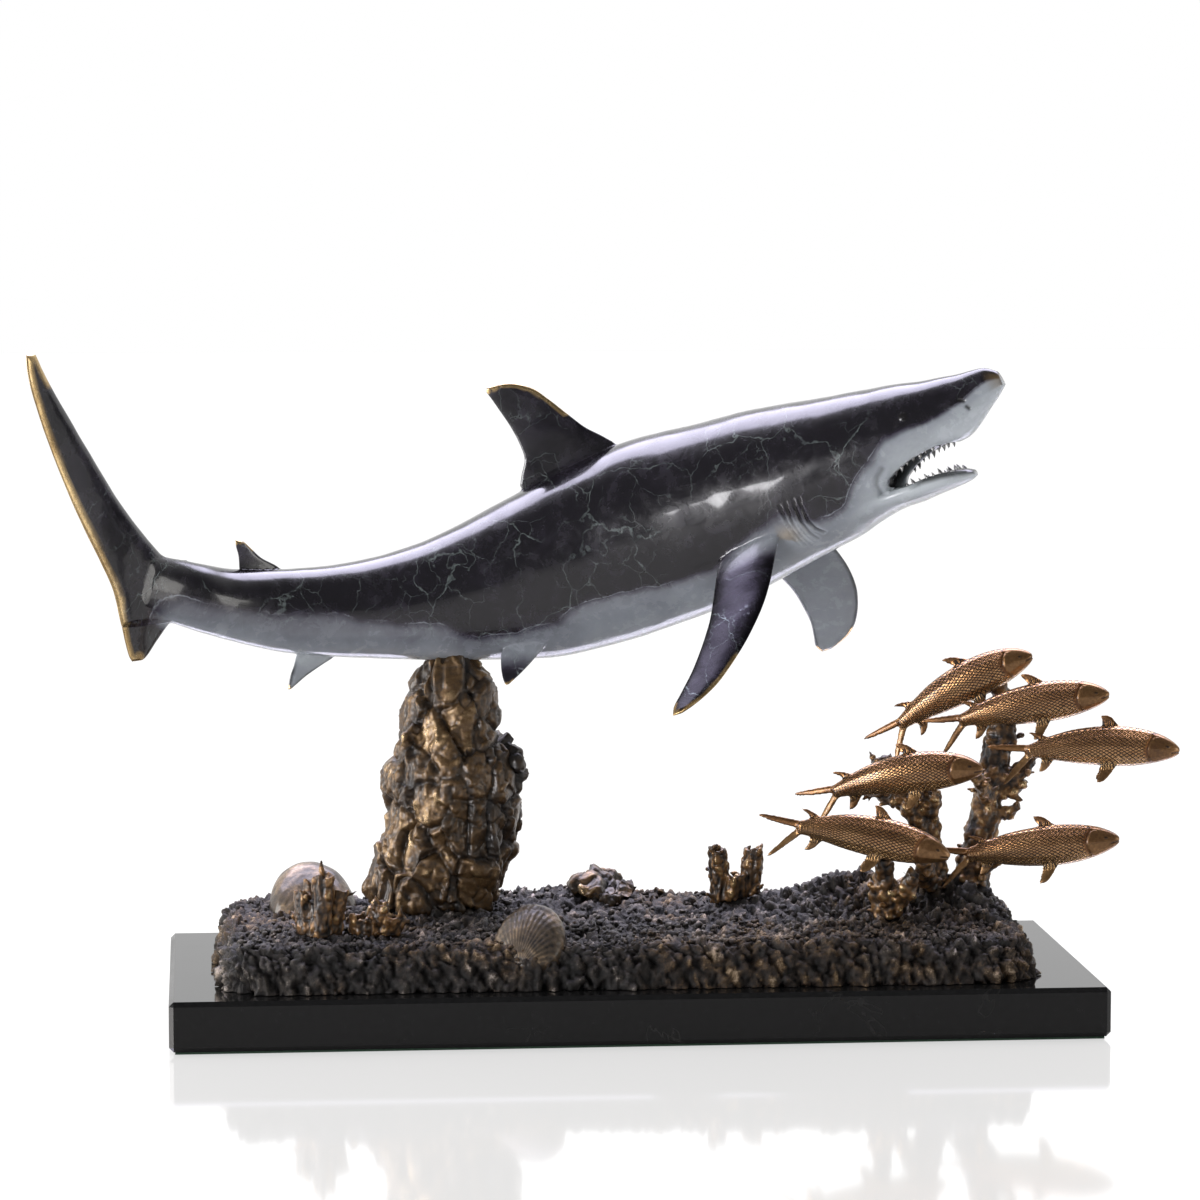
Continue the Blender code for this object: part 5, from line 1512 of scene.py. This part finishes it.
def fish_skin(index):
    """One fish, with scales, gill covers, mouth and eyes marked on its skin."""
    parts = fish_rings(index)
    snout = Vector(FISH[index][0]) * MM
    tail = snout + (Vector(FISH[index][1]) * MM - snout).normalized() * FISH_LENGTH
    rise = FISH[index][2] * MM
    frames = [fish_frame(snout, tail, rise, k / 120) for k in range(121)]
    lines = (tree_of([frame_row[0] for frame_row in frames]), frames)
    table = [(k, *[value for point in ring for value in point]) for k, ring in enumerate(parts[0])]
    rows = []
    for k in range(4 * (len(parts[0]) - 1) + 1):
        read = [smooth_value(table, column, k / 4) for column in range(1, len(table[0]))]
        rows.append([Vector(read[3 * i:3 * i + 3]) for i in range(len(parts[0][0]))])
    bodies = [closed(rows)] + [full_fin(rings, 0.00062) for rings in parts[1:]]
    skin = melt(joined(bodies), 0.00058 * fine_step, 3)
    refine(skin, [vert for vert in skin.verts if read_fish(vert.co, lines)[0] < 0.25], 1)
    layers = {mark: skin.verts.layers.float.new(mark) for mark in FISH_MARKS}
    skin.normal_update()
    moves = []
    for vert in skin.verts:
        t, turn, high, wide = read_fish(vert.co, lines)
        vert[layers["along"]] = t
        vert[layers["around"]] = turn / 180
        body = smooth_value(FISH_STATIONS, 1, min(max(t, 0), 1)) * FISH_DEPTH / 2
        fin = clamp((math.hypot(high, wide) - body * 1.15) / 0.0015)
        fin = max(fin, clamp((t - 0.98) / 0.03))
        cover = GILL_COVER - 0.030 * ((turn - 95) / 60) ** 2
        vert[layers["scaly"]] = clamp((t - cover - 0.01) / 0.02) * (1 - fin)
        seam = (t - cover) * FISH_LENGTH if 30 < turn < 165 else 0.01
        eye_at = Vector(((t - FISH_EYE) * FISH_LENGTH, (turn - 66) / 180 * 0.024))
        eye = eye_at.length
        lip = abs(high + 0.0006 + t * 0.012) if t < 0.055 else 0.01
        dot = math.hypot((t - 0.31) * FISH_LENGTH, (turn - 118) / 180 * 0.027)
        push = -0.00028 * bell(seam / 0.00060) + 0.00018 * bell((seam + 0.0018) / 0.0014)
        push += 0.00025 * max(1 - (eye / 0.0013) ** 2, 0)
        push -= 0.0003 * bell(lip / 0.00035)
        vert[layers["eye"]] = 1 - min(eye / 0.0024, 1.0)
        # Painted shade along the gill cover's seam and the mouth line, and a dark spot on the lower
        # flank.
        marks = [0.4 * bell(seam / 0.00060), bell(lip / 0.0004)]
        marks.append(0.8 * bell(dot / 0.0011))
        vert[layers["deep"]] = max(marks) * (1 - fin)
        belly = clamp((turn - 118) / 40)
        fin_gold = fin * (0.35 if high > 0 else 0.75)
        vert[layers["gold"]] = max(belly * 0.8, fin_gold, 0.6 * (t < cover))
        moves.append((vert, push * (1 - fin)))
    shift(moves)
    return skin


def fish_finish():
    made, tone = finish("rubbed copper fish bronze", Coat_Weight=0.5, Coat_Roughness=0.12)
    place = tone.place()
    along, around, scaly, deep, gold, eye = (tone.stored(mark) for mark in FISH_MARKS)
    cloud = tone.cloud(place, 55.0, 5.0, 0.6, 0.3)
    fine = tone.cloud(place, 650.0, 5.0, 0.6)
    rising = along * (SCALE_ROWS * math.pi) + around * (SCALES_AROUND * math.pi * 2)
    falling = along * (SCALE_ROWS * math.pi) - around * (SCALES_AROUND * math.pi * 2)
    net = rising.maths("ABSOLUTE", rising.maths("SINE", rising))
    net = net.maths("MINIMUM", net, falling.maths("ABSOLUTE", falling.maths("SINE", falling)))
    scale = tone.step(net, 0.10, 0.55)
    # Painted shade: deep darkens the gill cover's seam and the mouth line, and a dark spot on the
    # flank.
    level = cloud * 0.55 + (fine - 0.5) * 0.30 + (scale * 0.60 - 0.36) * scaly + 0.14 - deep * 0.25
    colour = tone.ramp(
        level,
        (0.10, (0.016, 0.007, 0.004)),
        (0.28, (0.080, 0.030, 0.011)),
        (0.48, (0.270, 0.115, 0.038)),
        (0.72, (0.620, 0.345, 0.150)),
    )
    golden = tone.ramp(
        level,
        (0.10, (0.03, 0.017, 0.008)),
        (0.34, (0.17, 0.095, 0.036)),
        (0.62, (0.50, 0.34, 0.16)),
    )
    colour = tone.mix(gold * 0.75, colour, golden)
    colour = tone.mix(tone.step(eye, 0.35, 0.75) * 0.85, colour, (0.020, 0.012, 0.008))
    rough = tone.step(level, 0.2, 0.7, 0.42, 0.24)
    bump = tone.bump(scale * scaly + fine * 0.25, 0.8, 0.0006)
    metal = tone.step(level, 0.1, 0.5, 0.45, 0.9)
    return wear(made, Base_Color=colour, Roughness=rough, Metallic=metal, Normal=bump)


copper = fish_finish()
for number in range(1, len(FISH) + 1):
    skin = fish_skin(number - 1)
    settle("small_fish_%d" % number, skin, copper, "fish_bronze", "fish_%d" % number)


# Coral: knobbly stems with short twigs, cast in three groups and brazed to the bed. They
# carry the fish, and their high spots are rubbed back to gold.


def spurs(bm, count, length, seed):
    """Short pointed twigs standing on a body, before it is melted."""
    pick = random.Random(seed)
    faces = [face for face in bm.faces if face.calc_area() > 2e-6]
    twigs = []
    for _ in range(count):
        face = pick.choice(faces)
        foot = face.calc_center_median()
        jitter = Vector((pick.uniform(-0.5, 0.5), pick.uniform(-0.5, 0.5), pick.uniform(0.0, 0.9)))
        way = (face.normal + jitter).normalized()
        side = way.orthogonal().normalized()
        other = way.cross(side)
        reach = length * pick.uniform(0.5, 1.2)
        thick = length * pick.uniform(0.18, 0.28)
        rings = []
        for level, wide in ((-0.3, 1.3), (0.2, 0.9), (0.6, 0.75), (1.0, 0.35)):
            middle, half = foot + way * (reach * level), thick * wide
            rings.append([
                middle + (side * math.cos(a) + other * math.sin(a)) * half for a in turns(8)
            ])
        twigs.append(closed(rings))
    return joined([bm] + twigs)


def coral_relief(point, normal):
    """Knobs and pits of the coral's bark."""
    near = noise.voronoi(point / 0.0050)[0]
    knob = 1 - near[0] * 1.4
    fine = lump(point, 0.0019, 5.0)
    swell = lump(point, 0.008, 2.0)
    return 0.0019 * knob + 0.0006 * fine + 0.0009 * swell - 0.0003, 0.28 + 0.60 * knob + 0.30 * fine


def behind_fish(bm, number, push):
    """Ease a coral back where a fish swims in front of it."""
    low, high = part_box("fish_%d" % number)
    middle, half = (low + high) / 2, (high - low) / 2
    for vert in bm.verts:
        away = vert.co - middle
        vert.co.y += push * math.exp(-((away.x / half.x / 1.1) ** 2) - (away.z / half.z / 1.3) ** 2)


bark = rock_finish("golden coral bronze", (0.24, 0.125, 0.046), (0.62, 0.46, 0.24))
for node, twigs in (("coral_tall", 30), ("coral_short", 26), ("coral_low", 10)):
    stems = melt(spurs(copy_of(node), twigs, 0.0055, twigs), 0.0008 * fine_step, 1)
    if node == "coral_tall":
        behind_fish(stems, 2, 0.007)
    relieve(stems, coral_relief)
    settle(node + "_casting", stems, bark, "rock_bronze", node)


# Sponges: ragged open tubes cast in clusters and brazed to the bed. They are golden brown
# outside, and keep a dark patina in their mouths.


def sponge_relief(point, normal):
    """Pits and ragged upright ridges of a sponge."""
    near = noise.voronoi(Vector((point.x, point.y, point.z * 0.6)) / 0.0040)[0]
    pit = min((near[1] - near[0]) * 2.2, 1.0)
    ridge = 1 - 2.5 * abs(lump((point.x, point.y, point.z * 0.25), 0.0038, 6.0))
    fine = lump(point, 0.0016, 3.0)
    push = 0.0008 * (pit - 0.6) + 0.0007 * ridge + 0.0004 * fine
    return push, 0.14 + 0.40 * pit + 0.24 * ridge + 0.2 * fine


for node in ("tube_sponge_left", "tube_sponge_middle", "sponge_knob"):
    tubes = melt(spurs(copy_of(node), 10, 0.0060, 3), 0.0007 * fine_step, 1)
    relieve(tubes, sponge_relief)
    settle(node + "_casting", tubes, bark, "rock_bronze", node)


# Shells and stone: a ribbed cockle at the front, a smooth shell and a rounded stone behind.
# Each is cast by itself and brazed to the bed.

SHELL_RIBS = 30
# Width, rise, height of the ribs, place, and turn and tilt in degrees
COCKLE = (0.037, 0.0135, 0.00009, (-0.055, -0.070, 0.0468), -28, 30)
PLAIN_SHELL = (0.046, 0.022, 0.0, (-0.160, 0.046, 0.0458), 10, 12)


def shell_skin(width, rise, rib, place, turn, tilt):
    """A domed shell with ribs that fan out from its hinge at the front."""
    around, steps = ((240, 52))
    rings = []
    for k in range(steps + 1):
        share = math.sin(math.pi / 2 * (1 - k / (steps + 0.4)))
        dome = math.sqrt(max(1 - share**2, 0.0))
        ring = []
        for angle in turns(around):
            out = Vector((math.cos(angle) * width / 2, math.sin(angle) * width * 0.45, 0)) * share
            ring.append(out + Vector((0, width * 0.30 * dome, rise * dome)))
        rings.append(ring)
    rings.insert(0, [Vector((point.x, point.y, -0.006)) for point in rings[0]])
    bm = closed(rings)
    tone = bm.verts.layers.float.new("relief")
    bm.normal_update()
    moves = []
    for vert in bm.verts:
        fan = math.atan2(vert.co.x, vert.co.y + width * 0.52)
        far = math.hypot(vert.co.x, vert.co.y + width * 0.52) / width
        wave = 0.5 + 0.5 * math.cos(fan * SHELL_RIBS * 2)
        growth = 0.5 + 0.5 * math.cos(far * 60 + 1.5 * lump(vert.co, 0.01, 3.0))
        spread = min(far * 1.6, 1.0)
        push = rib * wave * spread * 2.2 + 0.00008 * growth
        push += 0.00045 * lump(vert.co, 0.008, 4.0)
        moves.append((vert, push))
        front = min(max(1.15 - far * 1.3, 0.15), 1.0) if rib else 0.0
        shade = 0.38 + 0.36 * (wave - 0.5) * front + 0.08 * growth
        vert[tone] = shade + 0.26 * lump(vert.co, 0.009, 8.0)
    shift(moves)
    turning = Matrix.Rotation(math.radians(turn), 4, "Z")
    turning = turning @ Matrix.Rotation(math.radians(tilt), 4, "X")
    bmesh.ops.transform(bm, matrix=Matrix.Translation(place) @ turning, verts=bm.verts)
    return bm


shell_bronze = rock_finish("warm shell bronze", (0.27, 0.190, 0.115), (0.56, 0.44, 0.30))
settle("cockle_shell", shell_skin(*COCKLE), shell_bronze, "shell_bronze", "shell_front")
settle("plain_shell", shell_skin(*PLAIN_SHELL), shell_bronze, "shell_bronze", "shell_rear")
stone = melt(copy_of("rear_stone"), 0.0009 * fine_step, 2)
relieve(stone, stone_relief)
settle("rear_stone_casting", stone, rock, "rock_bronze", "rear_stone")


# Studio: a pale glossy floor, a wide softbox overhead, two soft lights on the left and a weak
# one on the right. The world stands for the white room that polished metal sees.

WHITE = (1.0, 1.0, 1.0)
FLOOR_GLOW, FLOOR_MIRROR = 1.62, 0.38


def floor_finish():
    """White to the camera, with the object's shadow and a faint mirror of it."""
    made, tone = finish("pale studio floor", Base_Color=(0.84, 0.83, 0.82, 1.0), Roughness=0.9)
    tree = made.node_tree
    shader = tree.nodes["Principled BSDF"]
    shader.inputs["Specular IOR Level"].default_value = 0.0
    seen = tone.node("ShaderNodeLightPath", output="Is Camera Ray")
    white = tone.node("ShaderNodeEmission", {}, {"Color": WHITE, "Strength": FLOOR_GLOW})
    mirror = tone.node("ShaderNodeBsdfAnisotropic", {}, {"Color": WHITE, "Roughness": 0.07})
    plain = Tone(tree, shader.outputs[0])
    lit = tone.node("ShaderNodeMixShader", {}, {0: seen * 0.55, 1: plain, 2: white})
    gloss = tone.node("ShaderNodeMixShader", {}, {0: FLOOR_MIRROR, 1: lit, 2: mirror})
    tree.links.new(gloss.socket, tree.nodes["Material Output"].inputs["Surface"])
    return made


ground = bmesh.new()
bmesh.ops.create_grid(ground, x_segments=1, y_segments=1, size=8.0)
floor = stand("studio_floor", ground)
floor.data.materials.append(floor_finish())


def softbox(name, place, aim, size, power, colour):
    """A soft rectangular light."""
    lamp = bpy.data.lights.new(name, "AREA")
    lamp.shape = "RECTANGLE"
    lamp.size, lamp.size_y = size
    lamp.energy = power
    lamp.color = colour
    item = bpy.data.objects.new(name, lamp)
    item.location = place
    item.rotation_euler = (Vector(aim) - Vector(place)).to_track_quat("-Z", "Y").to_euler()
    bpy.context.collection.objects.link(item)
    return item


# Name, place, aim, size, power and colour of each lamp
LAMPS = (
    ("overhead_softbox", (0.1, 0.3, 1.5), (0, 0, 0.20), (1.8, 1.2), 11.0, (1.0, 0.985, 0.97)),
    ("left_softbox", (-1.5, -1.35, 0.35), (0, 0, 0.18), (0.9, 0.5), 20.0, (0.98, 0.97, 1.0)),
    ("left_side_softbox", (-1.9, 0.1, 0.45), (0, 0, 0.15), (0.5, 0.8), 16.0, (1.0, 0.97, 0.95)),
    ("right_softbox", (1.7, -0.7, 0.25), (0, 0, 0.15), (0.5, 0.6), 3.0, (1.0, 0.98, 0.94)),
)
overhead = [softbox(*row) for row in LAMPS][0]
overhead.visible_glossy = False

# What polished metal sees of the studio: white behind, dark in front, a broad box overhead
world = bpy.data.worlds.new("white studio")
world.use_nodes = True
bpy.context.scene.world = world
world.node_tree.nodes.clear()
sky = Tone(world.node_tree)
seen = sky.node("ShaderNodeLightPath", output="Is Camera Ray")
gloss = sky.node("ShaderNodeLightPath", output="Is Glossy Ray")
direction = sky.node("ShaderNodeTexCoord", output="Generated")
across, back, upward = (
    sky.node("ShaderNodeSeparateXYZ", {}, {0: direction}, axis) for axis in ("X", "Y", "Z")
)
room = sky.step(back, -0.3, 0.55, 0.10, 1.0)
box = sky.step(upward, 0.62, 0.72) * sky.step(back, 0.06, 0.18)
box = box * sky.step(across.maths("ABSOLUTE", across), 0.62, 0.72, 1.0, 0.0)
PLAIN_LIGHT, BOX_LIGHT, BOX_COLOUR = 0.50, 7.5, (0.80, 0.77, 1.0)
plain, shown, glow = (
    sky.node("ShaderNodeBackground", {}, {"Color": colour, "Strength": strength})
    for colour, strength in (
        (WHITE, PLAIN_LIGHT),
        (WHITE, seen.maths("MAXIMUM", seen, room)),
        (BOX_COLOUR, box * (1 - seen) * BOX_LIGHT),
    )
)
shown = sky.node("ShaderNodeAddShader", {}, {0: shown, 1: glow})
direct = seen.maths("MAXIMUM", seen, gloss)
both = sky.node("ShaderNodeMixShader", {}, {0: direct, 1: plain, 2: shown})
sky.node("ShaderNodeOutputWorld", {}, {"Surface": both}, None)

# The camera that was fitted to the plinth's edges in the photograph: place, turn to the right
# and downward tilt in radians, and lens in millimetres
CAMERA_PLACE = (-0.2175, -2.2900, 0.4381)
YAW, PITCH = 0.0890, 0.0974
LENS = 134.85
lens = bpy.data.cameras.new("photo_camera")
lens.lens = LENS
lens.sensor_width = 36.0
lens.clip_end = 30.0
camera = bpy.data.objects.new("photo_camera", lens)
aim = Vector((math.sin(YAW) * math.cos(PITCH), math.cos(YAW) * math.cos(PITCH), -math.sin(PITCH)))
camera.location = CAMERA_PLACE
camera.rotation_euler = aim.to_track_quat("-Z", "Y").to_euler()
bpy.context.collection.objects.link(camera)
bpy.context.scene.camera = camera
bpy.context.scene.view_settings.view_transform = "Standard"
